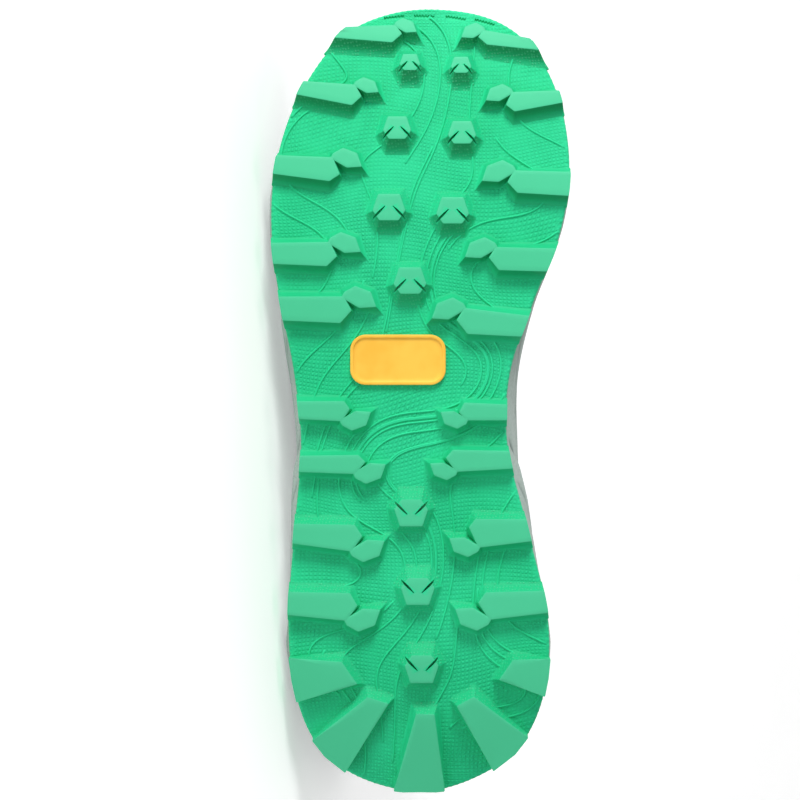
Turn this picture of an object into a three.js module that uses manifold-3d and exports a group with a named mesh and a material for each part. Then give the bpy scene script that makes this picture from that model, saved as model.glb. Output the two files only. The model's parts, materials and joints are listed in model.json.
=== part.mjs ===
// Trail running shoe for the right foot, lying on its lateral side with the tread facing -Y.
// It is made as a shoe factory makes it: a rubber outsole with moulded lugs and a plate set into
// it, a foam midsole with a raised rim, an upper lasted into that rim and open underneath, glued
// overlays, a tongue, a loose insole and a lace.
//
// Every piece is first worked out with the shoe standing: x runs from the heel to the toe, y is
// positive on the medial side, z is up from the ground. The last step lays the whole shoe down on
// the three points that touch the floor. Lengths are millimetres.
import * as THREE from 'three';
import { ConvexHull } from 'three/addons/math/ConvexHull.js';
import Module from 'manifold-3d';

const wasm = await Module();
wasm.setup();

// Driving sizes
const SOLE_LENGTH = 298;
const BALL_WIDTH = 113;
const UPPER_WIDTH = 101.5;
const INSTEP_HEIGHT = 78;
const HEEL_FOAM = 26;
const HEEL_RIM = 13;
const TOE_SPRING = 24;
const LUG_HEIGHT = 4.5;
const LUG_DRAFT = 1.5;
const RUBBER = 2.2;
const TOE_LIP_HEIGHT = 7;
const TOE_LIP_WALL = 2.4;
const RIM_WALL = 3;
const UPPER_WALL = 2;
const COLLAR_PADDING = 5;
const OVERLAY = 1.2;
const OVERLAY_GAP = 0.6;
const INSOLE = 4;
const INSOLE_CLEARANCE = 1.2;
const TONGUE = 4;
const TONGUE_CLEARANCE = 0.9;
const TONGUE_FREE_LENGTH = 30;
const LACE_WIDTH = 5;
const LACE_THICKNESS = 1.8;
const LACE_CLEARANCE = 1.3;
const EYELET_RADIUS = 2.4;
const GAP = 0.3;
const PRESSED_FLAT = 0.4;

// How finely the loops round the shoe are cut
const COLUMNS_PER_ROW = 2;
const WALL_LEVELS = 8;

// Names the columns of a table whose rows are plain numbers.
const table = (columns, rows) =>
  rows.map((row) => Object.fromEntries(columns.map((name, i) => [name, row[i]])));

// Outline of the tread from the heel's back to the toe's tip. along is a share of SOLE_LENGTH, and
// medial and lateral are half widths as shares of BALL_WIDTH.
const soleOutline = table(['along', 'medial', 'lateral'], [
  [0.000, 0.000, 0.000],
  [0.018, 0.185, 0.200],
  [0.060, 0.336, 0.343],
  [0.130, 0.417, 0.419],
  [0.220, 0.427, 0.440],
  [0.340, 0.355, 0.418],
  [0.440, 0.292, 0.398],
  [0.530, 0.300, 0.421],
  [0.620, 0.378, 0.467],
  [0.700, 0.462, 0.496],
  [0.780, 0.500, 0.490],
  [0.860, 0.482, 0.436],
  [0.925, 0.420, 0.345],
  [0.968, 0.325, 0.245],
  [0.992, 0.200, 0.115],
  [1.000, 0.030, 0.030],
]);

// Heights along the shoe: how far the tread lifts off the ground as a share of TOE_SPRING, the
// foam over it as a share of HEEL_FOAM, and the rim over the footbed as a share of HEEL_RIM.
const heights = table(['along', 'spring', 'foam', 'rim'], [
  [0.000, 0.42, 0.63, 1.00],
  [0.060, 0.23, 0.80, 1.00],
  [0.120, 0.08, 0.93, 0.97],
  [0.180, 0.00, 1.00, 0.90],
  [0.340, 0.00, 0.97, 0.66],
  [0.530, 0.00, 0.90, 0.56],
  [0.620, 0.00, 0.86, 0.50],
  [0.700, 0.04, 0.81, 0.45],
  [0.780, 0.14, 0.73, 0.42],
  [0.860, 0.34, 0.64, 0.40],
  [0.925, 0.58, 0.56, 0.38],
  [0.968, 0.78, 0.50, 0.36],
  [1.000, 1.00, 0.42, 0.36],
]);

// How far the foam bulges past the tread's outline, as shares of the rim's wall.
const bulges = table(['along', 'medial', 'lateral'], [
  [0.00, 0.25, 0.25],
  [0.13, 0.25, 0.45],
  [0.25, 0.40, 0.60],
  [0.34, 0.85, 0.80],
  [0.44, 1.50, 1.15],
  [0.53, 1.10, 0.85],
  [0.62, 0.30, 0.50],
  [0.72, 0.25, 0.35],
  [1.00, 0.10, 0.10],
]);

// Lines up the last, from its bottom edge to the top line of the upper, one pair to a row. along,
// medial and lateral place the bottom end, top... the upper end, and the last four columns shape
// the curve between them: it leaves the bottom by out and rise and arrives from reach and drop.
// along and topAlong are shares of SOLE_LENGTH, across columns of UPPER_WIDTH, and the rest of
// INSTEP_HEIGHT.
const lastLines = table([
  'along', 'medial', 'lateral', 'topAlong', 'topAcross', 'topMedial', 'topLateral',
  'out', 'rise', 'reach', 'drop',
], [
  [0.035, 0.000, 0.000, 0.0170, 0.000, 0.860, 0.860, 0.100, 0.31, -0.115, 0.31],
  [0.048, 0.177, 0.172, 0.0290, 0.115, 0.850, 0.848, 0.085, 0.30, -0.090, 0.30],
  [0.085, 0.298, 0.292, 0.0670, 0.241, 0.800, 0.790, 0.060, 0.28, -0.050, 0.27],
  [0.140, 0.348, 0.352, 0.1380, 0.315, 0.728, 0.705, 0.045, 0.27, -0.020, 0.24],
  [0.220, 0.355, 0.366, 0.2200, 0.342, 0.690, 0.645, 0.040, 0.26, -0.010, 0.22],
  [0.340, 0.345, 0.382, 0.3250, 0.292, 0.800, 0.765, 0.040, 0.30, 0.040, 0.22],
  [0.440, 0.335, 0.404, 0.3960, 0.170, 1.000, 0.985, 0.035, 0.36, 0.130, 0.20],
  [0.530, 0.337, 0.441, 0.4700, 0.143, 0.925, 0.915, 0.035, 0.40, 0.180, 0.12],
  [0.620, 0.397, 0.483, 0.5500, 0.126, 0.800, 0.795, 0.035, 0.38, 0.210, 0.08],
  [0.700, 0.483, 0.502, 0.6240, 0.108, 0.695, 0.690, 0.030, 0.33, 0.260, 0.06],
  [0.780, 0.507, 0.478, 0.6740, 0.079, 0.622, 0.620, 0.030, 0.29, 0.330, 0.07],
  [0.860, 0.478, 0.419, 0.6930, 0.049, 0.596, 0.595, 0.030, 0.27, 0.400, 0.09],
  [0.915, 0.394, 0.325, 0.6990, 0.030, 0.587, 0.587, 0.025, 0.28, 0.460, 0.11],
  [0.950, 0.276, 0.207, 0.7013, 0.018, 0.584, 0.584, 0.020, 0.30, 0.510, 0.12],
  [0.970, 0.150, 0.082, 0.7023, 0.008, 0.583, 0.583, 0.020, 0.31, 0.540, 0.13],
  [0.977, 0.034, 0.034, 0.7027, 0.000, 0.583, 0.583, 0.020, 0.31, 0.550, 0.13],
]);

const ROWS = lastLines.length;
const LOOP_ROWS = 2 * (ROWS - 1);
const COLUMNS = LOOP_ROWS * COLUMNS_PER_ROW;
const TOE_ROW = ROWS - 1;
// Rows of lastLines that other pieces are set out from
const PADDED_TO_ROW = 4.3;
const PADDING_ENDS_ROW = 5.4;
const THROAT_ROW = 6;
const TOP_EYELET_ROW = 6.3;
const LOW_EYELET_ROW = 9.6;
// Shares up the last between which the collar's padding grows
const PADDING_FROM_K = 0.5;
const PADDING_FULL_K = 0.85;

// Smooth curve through values at rising stations, with each slope taken from the two neighbours.
function alongTable(rows, column, at) {
  const last = rows.length - 1;
  const x = Math.min(Math.max(at, rows[0].along), rows[last].along);
  let i = 0;
  while (i < last - 1 && rows[i + 1].along < x) i += 1;
  const slope = (j) => {
    const a = rows[Math.max(j - 1, 0)];
    const b = rows[Math.min(j + 1, last)];
    return (b[column] - a[column]) / (b.along - a.along);
  };
  const width = rows[i + 1].along - rows[i].along;
  const t = (x - rows[i].along) / width;
  return hermite(rows[i][column], rows[i + 1][column], slope(i) * width, slope(i + 1) * width, t);
}

function hermite(a, b, slopeA, slopeB, t) {
  const t2 = t * t;
  const t3 = t2 * t;
  return a * (2 * t3 - 3 * t2 + 1) + slopeA * (t3 - 2 * t2 + t)
    + b * (3 * t2 - 2 * t3) + slopeB * (t3 - t2);
}

// Values of a table read once round the shoe: heel, medial side, toe, lateral side.
function loopOf(rows, pick) {
  const between = rows.slice(1, -1);
  return [
    pick(rows[0], 1),
    ...between.map((row) => pick(row, 1)),
    pick(rows[rows.length - 1], 1),
    ...between.reverse().map((row) => pick(row, -1)),
  ];
}

// Value of a loop at row u, which wraps round.
function loopAt(values, u) {
  const n = values.length;
  const i = Math.floor(u);
  const at = (j) => values[((j % n) + n) % n];
  const slopeA = (at(i + 1) - at(i - 1)) / 2;
  const slopeB = (at(i + 2) - at(i)) / 2;
  return hermite(at(i), at(i + 1), slopeA, slopeB, u - i);
}

const clamp01 = (t) => Math.min(Math.max(t, 0), 1);
const smooth = (from, to, t) => {
  const s = clamp01((t - from) / (to - from));
  return s * s * (3 - 2 * s);
};

// Distance of row u from the heel row, counted along either side.
const rowFromHeel = (u) => {
  const wrapped = ((u % LOOP_ROWS) + LOOP_ROWS) % LOOP_ROWS;
  return Math.min(wrapped, LOOP_ROWS - wrapped);
};

// Heights of the standing shoe over the ground, at a length x
const springAt = (x) => TOE_SPRING * alongTable(heights, 'spring', x / SOLE_LENGTH);
const treadBase = (x) => springAt(x) + LUG_HEIGHT;
const foamBottom = (x) => treadBase(x) + RUBBER + GAP;
const footbed = (x) => foamBottom(x) + HEEL_FOAM * alongTable(heights, 'foam', x / SOLE_LENGTH);
const rimHeight = (x) => footbed(x) + HEEL_RIM * alongTable(heights, 'rim', x / SOLE_LENGTH);

// A closed plan outline as a function of the row u, with its outward normal.
function planLoop(rows, width) {
  const xs = loopOf(rows, (row) => row.along * SOLE_LENGTH);
  const ys = loopOf(rows, (row, side) => (side > 0 ? row.medial : -row.lateral) * width);
  const step = 0.02;
  const point = (u) => new THREE.Vector2(loopAt(xs, u), loopAt(ys, u));
  const normal = (u) => {
    const d = point(u + step).sub(point(u - step)).normalize();
    return new THREE.Vector2(-d.y, d.x);
  };
  return { point, normal };
}

const treadEdge = planLoop(soleOutline, BALL_WIDTH);
const lastEdge = planLoop(lastLines, UPPER_WIDTH);
const topLine = {
  x: loopOf(lastLines, (row) => row.topAlong * SOLE_LENGTH),
  y: loopOf(lastLines, (row, side) => side * row.topAcross * UPPER_WIDTH),
  rise: loopOf(lastLines, (row, side) => (side > 0 ? row.topMedial : row.topLateral)),
};
const lineShape = Object.fromEntries(['out', 'rise', 'reach', 'drop'].map(
  (name) => [name, loopOf(lastLines, (row) => row[name] * INSTEP_HEIGHT)]));

// Point of the upper's outer face: k is 0 at the bottom edge and 1 at the top line. The line
// between them is a cubic curve with one handle at each end.
function upperFace(u, k) {
  const foot = lastEdge.point(u);
  const away = lastEdge.normal(u);
  const x = loopAt(topLine.x, u);
  const top = new THREE.Vector3(x, loopAt(topLine.y, u),
    footbed(x) + loopAt(topLine.rise, u) * INSTEP_HEIGHT);
  const shape = (name) => loopAt(lineShape[name], u);
  const start = new THREE.Vector3(foot.x, foot.y, footbed(foot.x) + GAP);
  const leave = start.clone().add(
    new THREE.Vector3(away.x * shape('out'), away.y * shape('out'), shape('rise')));
  const arrive = top.clone().add(
    new THREE.Vector3(away.x * shape('reach'), away.y * shape('reach'), -shape('drop')));
  return new THREE.CubicBezierCurve3(start, leave, arrive, top).getPoint(k);
}

// The same face moved out along its normal, or in where offset is negative.
function upperAt(u, k, offset) {
  const stepU = 0.05;
  const stepK = 0.01;
  const low = Math.max(k - stepK, 0);
  const high = Math.min(k + stepK, 1);
  const along = upperFace(u + stepU, k).sub(upperFace(u - stepU, k));
  const up = upperFace(u, high).sub(upperFace(u, low));
  const normal = up.cross(along).normalize();
  return upperFace(u, k).addScaledVector(normal, offset);
}

// k where the line up the last has climbed a given length from its bottom, or from its top.
function kAtLength(u, length, fromTop = false) {
  const steps = 60;
  let walked = 0;
  let before = upperFace(u, fromTop ? 1 : 0);
  for (let i = 1; i <= steps; i += 1) {
    const k = fromTop ? 1 - i / steps : i / steps;
    const here = upperFace(u, k);
    const stride = here.distanceTo(before);
    if (walked + stride >= length) {
      const part = (length - walked) / stride / steps;
      return fromTop ? 1 - (i - 1) / steps - part : (i - 1) / steps + part;
    }
    walked += stride;
    before = here;
  }
  return fromTop ? 0 : 1;
}

// k where the upper leaves the midsole's rim.
function kAtRim(u) {
  let low = 0;
  let high = 0.6;
  for (let i = 0; i < 24; i += 1) {
    const k = (low + high) / 2;
    const p = upperFace(u, k);
    if (p.z < rimHeight(lastEdge.point(u).x)) low = k;
    else high = k;
  }
  return (low + high) / 2;
}

// Wall of the upper: padded round the collar, plain fabric elsewhere.
function wallAt(u, k) {
  const round = 1 - smooth(PADDED_TO_ROW, PADDING_ENDS_ROW, rowFromHeel(u));
  return UPPER_WALL + COLLAR_PADDING * round * smooth(PADDING_FROM_K, PADDING_FULL_K, k);
}

// Makes a closed solid of points and triangles: equal points are welded, flat triangles are
// dropped, and the faces are turned outwards.
function solidOf(points, triangles) {
  const weld = 1e4;
  const known = new Map();
  const flat = [];
  const index = points.map((p) => {
    const key = p.toArray().map((c) => Math.round(c * weld)).join();
    if (!known.has(key)) {
      known.set(key, flat.length / 3);
      flat.push(...p.toArray());
    }
    return known.get(key);
  });
  let kept = triangles.map((t) => t.map((i) => index[i]))
    .filter(([a, b, c]) => a !== b && b !== c && c !== a);
  const corner = (i) => new THREE.Vector3().fromArray(flat, 3 * i);
  const volume = kept.reduce(
    (sum, [a, b, c]) => sum + corner(a).dot(corner(b).cross(corner(c))), 0);
  if (volume < 0) kept = kept.map(([a, b, c]) => [a, c, b]);
  return new wasm.Manifold(new wasm.Mesh({
    numProp: 3,
    vertProperties: new Float32Array(flat),
    triVerts: new Uint32Array(kept.flat()),
  }));
}

// The same for an indexed three.js geometry.
function solidFrom(geometry) {
  const position = geometry.getAttribute('position');
  const points = Array.from({ length: position.count }, (_, i) =>
    new THREE.Vector3().fromBufferAttribute(position, i));
  const index = Array.from(geometry.index.array);
  return solidOf(points, Array.from({ length: index.length / 3 }, (_, i) =>
    index.slice(3 * i, 3 * i + 3)));
}

// Triangles of a grid of points with rows of equal length. The rows close on themselves if asked.
function gridTriangles(rowCount, columnCount, first, closedRows, closedColumns) {
  const triangles = [];
  const at = (r, c) => first + (r % rowCount) * columnCount + (c % columnCount);
  for (let r = 0; r < rowCount - (closedColumns ? 0 : 1); r += 1) {
    for (let c = 0; c < columnCount - (closedRows ? 0 : 1); c += 1) {
      triangles.push([at(r, c), at(r, c + 1), at(r + 1, c + 1)]);
      triangles.push([at(r, c), at(r + 1, c + 1), at(r + 1, c)]);
    }
  }
  return triangles;
}

// Triangles across a closed ring, from each medial point to the lateral point at the same row.
function ladderTriangles(first, count, flip) {
  const triangles = [];
  for (let i = 0; i < count / 2; i += 1) {
    const a = first + i;
    const b = first + i + 1;
    const c = first + ((count - i) % count);
    const d = first + count - i - 1;
    triangles.push([a, b, d], [a, d, c]);
  }
  return flip ? triangles.map(([a, b, c]) => [a, c, b]) : triangles;
}

// Solid between rings that all go once round the shoe, closed across its first and last ring.
function ringSolid(rings) {
  const count = rings[0].length;
  const points = rings.flat();
  return solidOf(points, [
    ...gridTriangles(rings.length, count, 0, true, false),
    ...ladderTriangles(0, count, true),
    ...ladderTriangles((rings.length - 1) * count, count, false),
  ]);
}

const columnRows = Array.from({ length: COLUMNS }, (_, i) => i / COLUMNS_PER_ROW);
const ring = (place) => columnRows.map(place);
const flatPoint = (p, z) => new THREE.Vector3(p.x, p.y, z);

// Levels that every sheet on the upper shares, so that their facets lie parallel.
const wallLevels = Array.from({ length: WALL_LEVELS + 1 }, (_, j) => j / WALL_LEVELS);

// Point on the facets between those levels, so that a border lies on them too.
function facetAt(u, k, offset) {
  const low = Math.min(Math.floor(k * WALL_LEVELS), WALL_LEVELS - 1);
  const [a, b] = [wallLevels[low], wallLevels[low + 1]].map((at) => upperAt(u, at, offset(u, at)));
  return a.lerp(b, k * WALL_LEVELS - low);
}

// Cross-sections of a sheet on the upper, one to a row: up its outer face and down its inner one.
// low and high are the faces' distances from the upper's outer face, as functions of u and k.
function sheetBands(rows, bottomK, topK, low, high) {
  return rows.map((u) => {
    const bottom = bottomK(u);
    const top = topK(u);
    const levels = [bottom, ...wallLevels.map((k) => Math.min(Math.max(k, bottom), top)), top];
    const face = (offset) => levels.map((k) => facetAt(u, k, offset));
    return [...face(high), ...face(low).reverse()];
  });
}

// Solid of bands, each a closed cross-section, either closed into a ring or capped at its ends.
function bandSolid(bands, closed) {
  const size = bands[0].length;
  const triangles = gridTriangles(bands.length, size, 0, true, closed);
  if (!closed) {
    const levels = size / 2;
    for (const [first, flip] of [[0, false], [(bands.length - 1) * size, true]]) {
      for (let j = 0; j < levels - 1; j += 1) {
        const quad = [first + j, first + j + 1, first + size - 2 - j, first + size - 1 - j];
        const order = flip ? quad : [...quad].reverse();
        triangles.push([order[0], order[1], order[2]], [order[0], order[2], order[3]]);
      }
    }
  }
  return solidOf(bands.flat(), triangles);
}

// Rows from one to another in the loops' own steps, with both ends kept.
function rowsBetween(from, to) {
  const inner = [];
  for (let i = Math.ceil(from * COLUMNS_PER_ROW + 0.2); i < to * COLUMNS_PER_ROW - 0.2; i += 1) {
    inner.push(i / COLUMNS_PER_ROW);
  }
  return [from, ...inner, to];
}

// Point of the tread: h millimetres out of the rubber's face at the plan point x, y.
function treadPoint(x, y, h) {
  const step = 0.5;
  const slope = (treadBase(x + step) - treadBase(x - step)) / (2 * step);
  const normal = new THREE.Vector3(slope, 0, -1).normalize();
  return new THREE.Vector3(x, y, treadBase(x)).addScaledVector(normal, h);
}

// Moves each side of a convex outline out by a distance. A sharp corner moves less than its sides
// would take it, so that it stays short.
const SHARPEST_CORNER = 0.3;
function grown(outline, distance) {
  const area = THREE.ShapeUtils.area(outline);
  const turn = Math.sign(area);
  const n = outline.length;
  return outline.map((p, i) => {
    const into = p.clone().sub(outline[(i + n - 1) % n]).normalize();
    const outOf = outline[(i + 1) % n].clone().sub(p).normalize();
    const sideA = new THREE.Vector2(into.y, -into.x).multiplyScalar(turn);
    const sideB = new THREE.Vector2(outOf.y, -outOf.x).multiplyScalar(turn);
    const middle = sideA.clone().add(sideB);
    return p.clone().addScaledVector(middle, distance / Math.max(1 + sideA.dot(sideB), SHARPEST_CORNER));
  });
}

// Block on the tread with drafted sides: top is its worn face, base its foot in the rubber.
function treadBlock(top, base, from, to) {
  const n = top.length;
  const points = [
    ...base.map((p) => treadPoint(p.x, p.y, from)),
    ...top.map((p) => treadPoint(p.x, p.y, to)),
  ];
  const triangles = [];
  for (let i = 0; i < n; i += 1) {
    const j = (i + 1) % n;
    triangles.push([i, j, n + j], [i, n + j, n + i]);
  }
  for (const face of THREE.ShapeUtils.triangulateShape(top, [])) {
    triangles.push(face.map((i) => n + i));
    triangles.push([face[0], face[2], face[1]]);
  }
  // The outline may run either way round, so the caps are turned to match it.
  const turned = THREE.ShapeUtils.area(top) < 0;
  const sides = triangles.slice(0, 2 * n);
  const caps = triangles.slice(2 * n).map(([a, b, c]) => (turned ? [a, c, b] : [a, b, c]));
  return solidOf(points, [...sides, ...caps]);
}

const LUG_ROOT = -1;
function lug(top) {
  return treadBlock(top, grown(top, LUG_DRAFT), LUG_ROOT, LUG_HEIGHT);
}

// Row u of the tread's outline at a share of the length, on one side.
function edgeRow(at, side) {
  let low = 0;
  let high = TOE_ROW;
  for (let i = 0; i < 30; i += 1) {
    const u = (low + high) / 2;
    if (treadEdge.point(side > 0 ? u : LOOP_ROWS - u).x < at * SOLE_LENGTH) low = u;
    else high = u;
  }
  return side > 0 ? low : LOOP_ROWS - low;
}

// Lugs that start at the tread's edge: a blade with a pointed inner end and a small wing beside
// the point, parted from it by a notch. at is where the blade's middle meets the edge, as a share
// of SOLE_LENGTH. The other columns are shares of BALL_WIDTH: the blade's breadth at the edge, its
// reach inwards, and how far its front corner, tip and back corner lie ahead of at. wing is the
// wing's size, and it is on the toe side if positive.
const edgeLugs = table(
  ['side', 'at', 'breadth', 'reach', 'front', 'tip', 'back', 'wing'], [
    [-1, 0.960, 0.036, 0.210, 0.027, -0.002, -0.032, 0.70],
    [-1, 0.889, 0.046, 0.206, 0.012, -0.028, -0.058, 0.78],
    [-1, 0.792, 0.062, 0.217, 0.025, -0.032, -0.055, 0.95],
    [-1, 0.681, 0.070, 0.215, 0.038, -0.010, -0.043, 1.00],
    [-1, 0.612, 0.080, 0.235, 0.040, -0.007, -0.049, 1.05],
    [-1, 0.484, 0.060, 0.171, 0.030, 0.003, -0.038, -0.95],
    [-1, 0.416, 0.055, 0.218, 0.030, 0.006, -0.034, -1.00],
    [-1, 0.328, 0.067, 0.228, 0.030, -0.009, -0.060, -1.08],
    [-1, 0.240, 0.077, 0.230, 0.035, -0.008, -0.058, -1.10],
    [1, 0.945, 0.040, 0.190, 0.050, 0.027, 0.000, 0.75],
    [1, 0.878, 0.042, 0.183, 0.016, -0.027, -0.050, 0.85],
    [1, 0.768, 0.080, 0.207, 0.045, 0.006, -0.030, 1.05],
    [1, 0.673, 0.077, 0.208, 0.042, 0.007, -0.035, 1.00],
    [1, 0.590, 0.070, 0.227, 0.060, 0.019, -0.027, 1.05],
    [1, 0.481, 0.054, 0.158, 0.033, 0.000, -0.027, -0.85],
    [1, 0.421, 0.060, 0.215, 0.034, 0.007, -0.040, -0.85],
    [1, 0.332, 0.074, 0.198, 0.039, 0.011, -0.058, -0.95],
    [1, 0.242, 0.074, 0.225, 0.032, -0.003, -0.060, -1.10],
  ]);
const FRONT_CORNER_REACH = 0.89;
const BACK_CORNER_REACH = 0.84;
// Corners of a wing, inwards and towards its own end of the shoe, as shares of BALL_WIDTH
const wingCorners = table(['inwards', 'ahead'], [
  [-0.008, -0.004],
  [0.001, 0.014],
  [0.036, 0.033],
  [0.086, 0.014],
  [0.103, -0.034],
  [0.049, -0.037],
]);

function edgeLug(row) {
  const { side } = row;
  const half = (row.breadth * BALL_WIDTH) / 2;
  const start = row.at * SOLE_LENGTH;
  const edgeY = treadEdge.point(edgeRow(row.at, side)).y;
  const inner = (inwards, ahead) =>
    new THREE.Vector2(start + ahead * BALL_WIDTH, edgeY - side * inwards * BALL_WIDTH);
  const outerRows = [-1, 0, 1].map((ahead) => edgeRow((start + ahead * half) / SOLE_LENGTH, side));
  const outer = outerRows.map(
    (u) => treadEdge.point(u).addScaledVector(treadEdge.normal(u), GAP));
  const front = inner(row.reach * FRONT_CORNER_REACH, row.front);
  const back = inner(row.reach * BACK_CORNER_REACH, row.back);
  const blade = [...outer, front, inner(row.reach, row.tip), back];
  const foot = grown(blade, LUG_DRAFT);
  // The outer end stands flush with the edge of the rubber, so it has no draft past that edge.
  outerRows.forEach((u, i) => {
    const away = treadEdge.normal(u);
    foot[i].addScaledVector(away, -foot[i].clone().sub(blade[i]).dot(away));
  });
  const solid = treadBlock(blade, foot, LUG_ROOT, LUG_HEIGHT);
  const size = Math.abs(row.wing);
  const towards = Math.sign(row.wing);
  const root = towards > 0 ? front : back;
  const wing = wingCorners.map(({ inwards, ahead }) => new THREE.Vector2(
    root.x + towards * ahead * size * BALL_WIDTH,
    root.y - side * inwards * size * BALL_WIDTH));
  return solid.add(lug(wing));
}

// Lugs down the middle: a six-sided block with two slits that part an arrow from its wings.
// across and size are shares of BALL_WIDTH, and points is 1 where the arrow looks to the toe.
const middleLugs = table(['at', 'across', 'size', 'points'], [
  [0.9220, -0.034, 0.070, 1],
  [0.9185, 0.138, 0.070, 1],
  [0.8380, -0.077, 0.095, 1],
  [0.8320, 0.140, 0.095, 1],
  [0.7380, -0.104, 0.110, 1],
  [0.7340, 0.108, 0.110, 1],
  [0.6460, -0.034, 0.110, 1],
  [0.3550, -0.030, 0.113, -1],
  [0.2560, -0.008, 0.113, -1],
  [0.1590, 0.005, 0.113, -1],
]);
// Half outline of a middle lug, as shares of its size
const middleCorners = table(['across', 'ahead'], [
  [0.33, 0.42],
  [0.50, -0.08],
  [0.29, -0.38],
]);
const SLIT_WIDTH = 0.7;
const SLIT_DEPTH = 2.2;
const SLIT_FROM = { across: 0.12, ahead: 0.06 };
const SLIT_TO = { across: 0.52, ahead: -0.34 };

function middleLug(row) {
  const size = row.size * BALL_WIDTH;
  const centre = new THREE.Vector2(row.at * SOLE_LENGTH, row.across * BALL_WIDTH);
  const corner = (side, { across, ahead }) => new THREE.Vector2(
    centre.x + row.points * ahead * size, centre.y + side * across * size);
  const outline = [
    ...middleCorners.map((c) => corner(1, c)),
    ...[...middleCorners].reverse().map((c) => corner(-1, c)),
  ];
  const block = lug(outline);
  const slits = [1, -1].map((side) => {
    const from = corner(side, SLIT_FROM);
    const to = corner(side, SLIT_TO);
    const aside = to.clone().sub(from).normalize().rotateAround(new THREE.Vector2(), Math.PI / 2)
      .multiplyScalar(SLIT_WIDTH / 2);
    const strip = [from.clone().add(aside), to.clone().add(aside),
      to.clone().sub(aside), from.clone().sub(aside)];
    return treadBlock(strip, strip, LUG_HEIGHT - SLIT_DEPTH, LUG_HEIGHT + 1);
  });
  return slits.reduce((solid, slit) => solid.subtract(slit), block);
}

// Wedge lugs that fan out round the heel. from and to are shares of SOLE_LENGTH where the wedge
// meets the edge, and side is 0 for the one at the back. The inner end is set by its distance from
// the heel's back, its place across and its two halves, as shares of BALL_WIDTH.
const heelLugs = table(
  ['side', 'from', 'to', 'inAhead', 'inAcross', 'turn', 'inHalf'], [
    [-1, 0.117, 0.172, 0.405, -0.235, -0.95, 0.045],
    [-1, 0.028, 0.069, 0.315, -0.140, -0.30, 0.037],
    [0, 0.000, 0.000, 0.270, 0.017, 0.00, 0.031],
    [1, 0.030, 0.073, 0.312, 0.150, 0.50, 0.033],
    [1, 0.124, 0.171, 0.415, 0.285, 0.95, 0.040],
  ]);
const HEEL_LUG_HALF_WIDTH = 9;

function heelLug(row) {
  const edgePoint = (u) => treadEdge.point(u).addScaledVector(treadEdge.normal(u), GAP);
  let outer;
  if (row.side === 0) {
    const widest = treadEdge.point(1).y;
    const half = HEEL_LUG_HALF_WIDTH / widest;
    outer = [edgePoint(-half), edgePoint(0), edgePoint(half)];
  } else {
    const rows = [row.from, (row.from + row.to) / 2, row.to].map((at) => edgeRow(at, row.side));
    outer = rows.map(edgePoint);
    if (row.side < 0) outer.reverse();
  }
  const middle = new THREE.Vector2(row.inAhead * BALL_WIDTH, row.inAcross * BALL_WIDTH);
  const half = new THREE.Vector2(0, row.inHalf * BALL_WIDTH)
    .rotateAround(new THREE.Vector2(), -row.turn);
  const top = [...outer, middle.clone().add(half), middle.clone().sub(half)];
  const foot = grown(top, LUG_DRAFT);
  for (const i of [0, 1, 2]) foot[i].copy(top[i]);
  return treadBlock(top, foot, LUG_ROOT, LUG_HEIGHT);
}

// Plate set into the tread under the arch, with round ends and a raised rim.
const PLATE_LENGTH = 36;
const PLATE_BREADTH = 19;
const PLATE_PROUD = 1.6;
const PLATE_POCKET = 1.1;
const PLATE_RIM = 1.3;
const PLATE_RIM_STEP = 0.6;
const PLATE_AT = 0.5475;
const PLATE_ACROSS = -0.074;
const PLATE_ROUNDING = 0.62;

function plateOutline(inset) {
  const length = PLATE_LENGTH / 2 - inset;
  const breadth = PLATE_BREADTH / 2 - inset;
  const round = breadth * PLATE_ROUNDING;
  const shape = new THREE.Shape();
  shape.absarc(breadth - round, length - round, round, 0, Math.PI / 2);
  shape.absarc(round - breadth, length - round, round, Math.PI / 2, Math.PI);
  shape.absarc(round - breadth, round - length, round, Math.PI, 1.5 * Math.PI);
  shape.absarc(breadth - round, round - length, round, 1.5 * Math.PI, 2 * Math.PI);
  const points = shape.getPoints(3);
  const unique = points.filter((p, i) => p.distanceTo(points[(i + 1) % points.length]) > 1e-3);
  const centre = new THREE.Vector2(PLATE_AT * SOLE_LENGTH, PLATE_ACROSS * BALL_WIDTH);
  return unique.map((p) => p.add(centre));
}

function plate() {
  const outside = plateOutline(0);
  const inside = plateOutline(PLATE_RIM);
  const body = treadBlock(outside, outside, GAP - PLATE_POCKET, PLATE_PROUD);
  const dish = treadBlock(inside, inside, PLATE_PROUD - PLATE_RIM_STEP, PLATE_PROUD + 1);
  return body.subtract(dish);
}

// Share of the toe's lip at row u: the rubber turns up over the toe's tip alone.
const lipShare = (u) => smooth(TOE_ROW - 4, TOE_ROW - 2, rowFromHeel(u));

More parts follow.
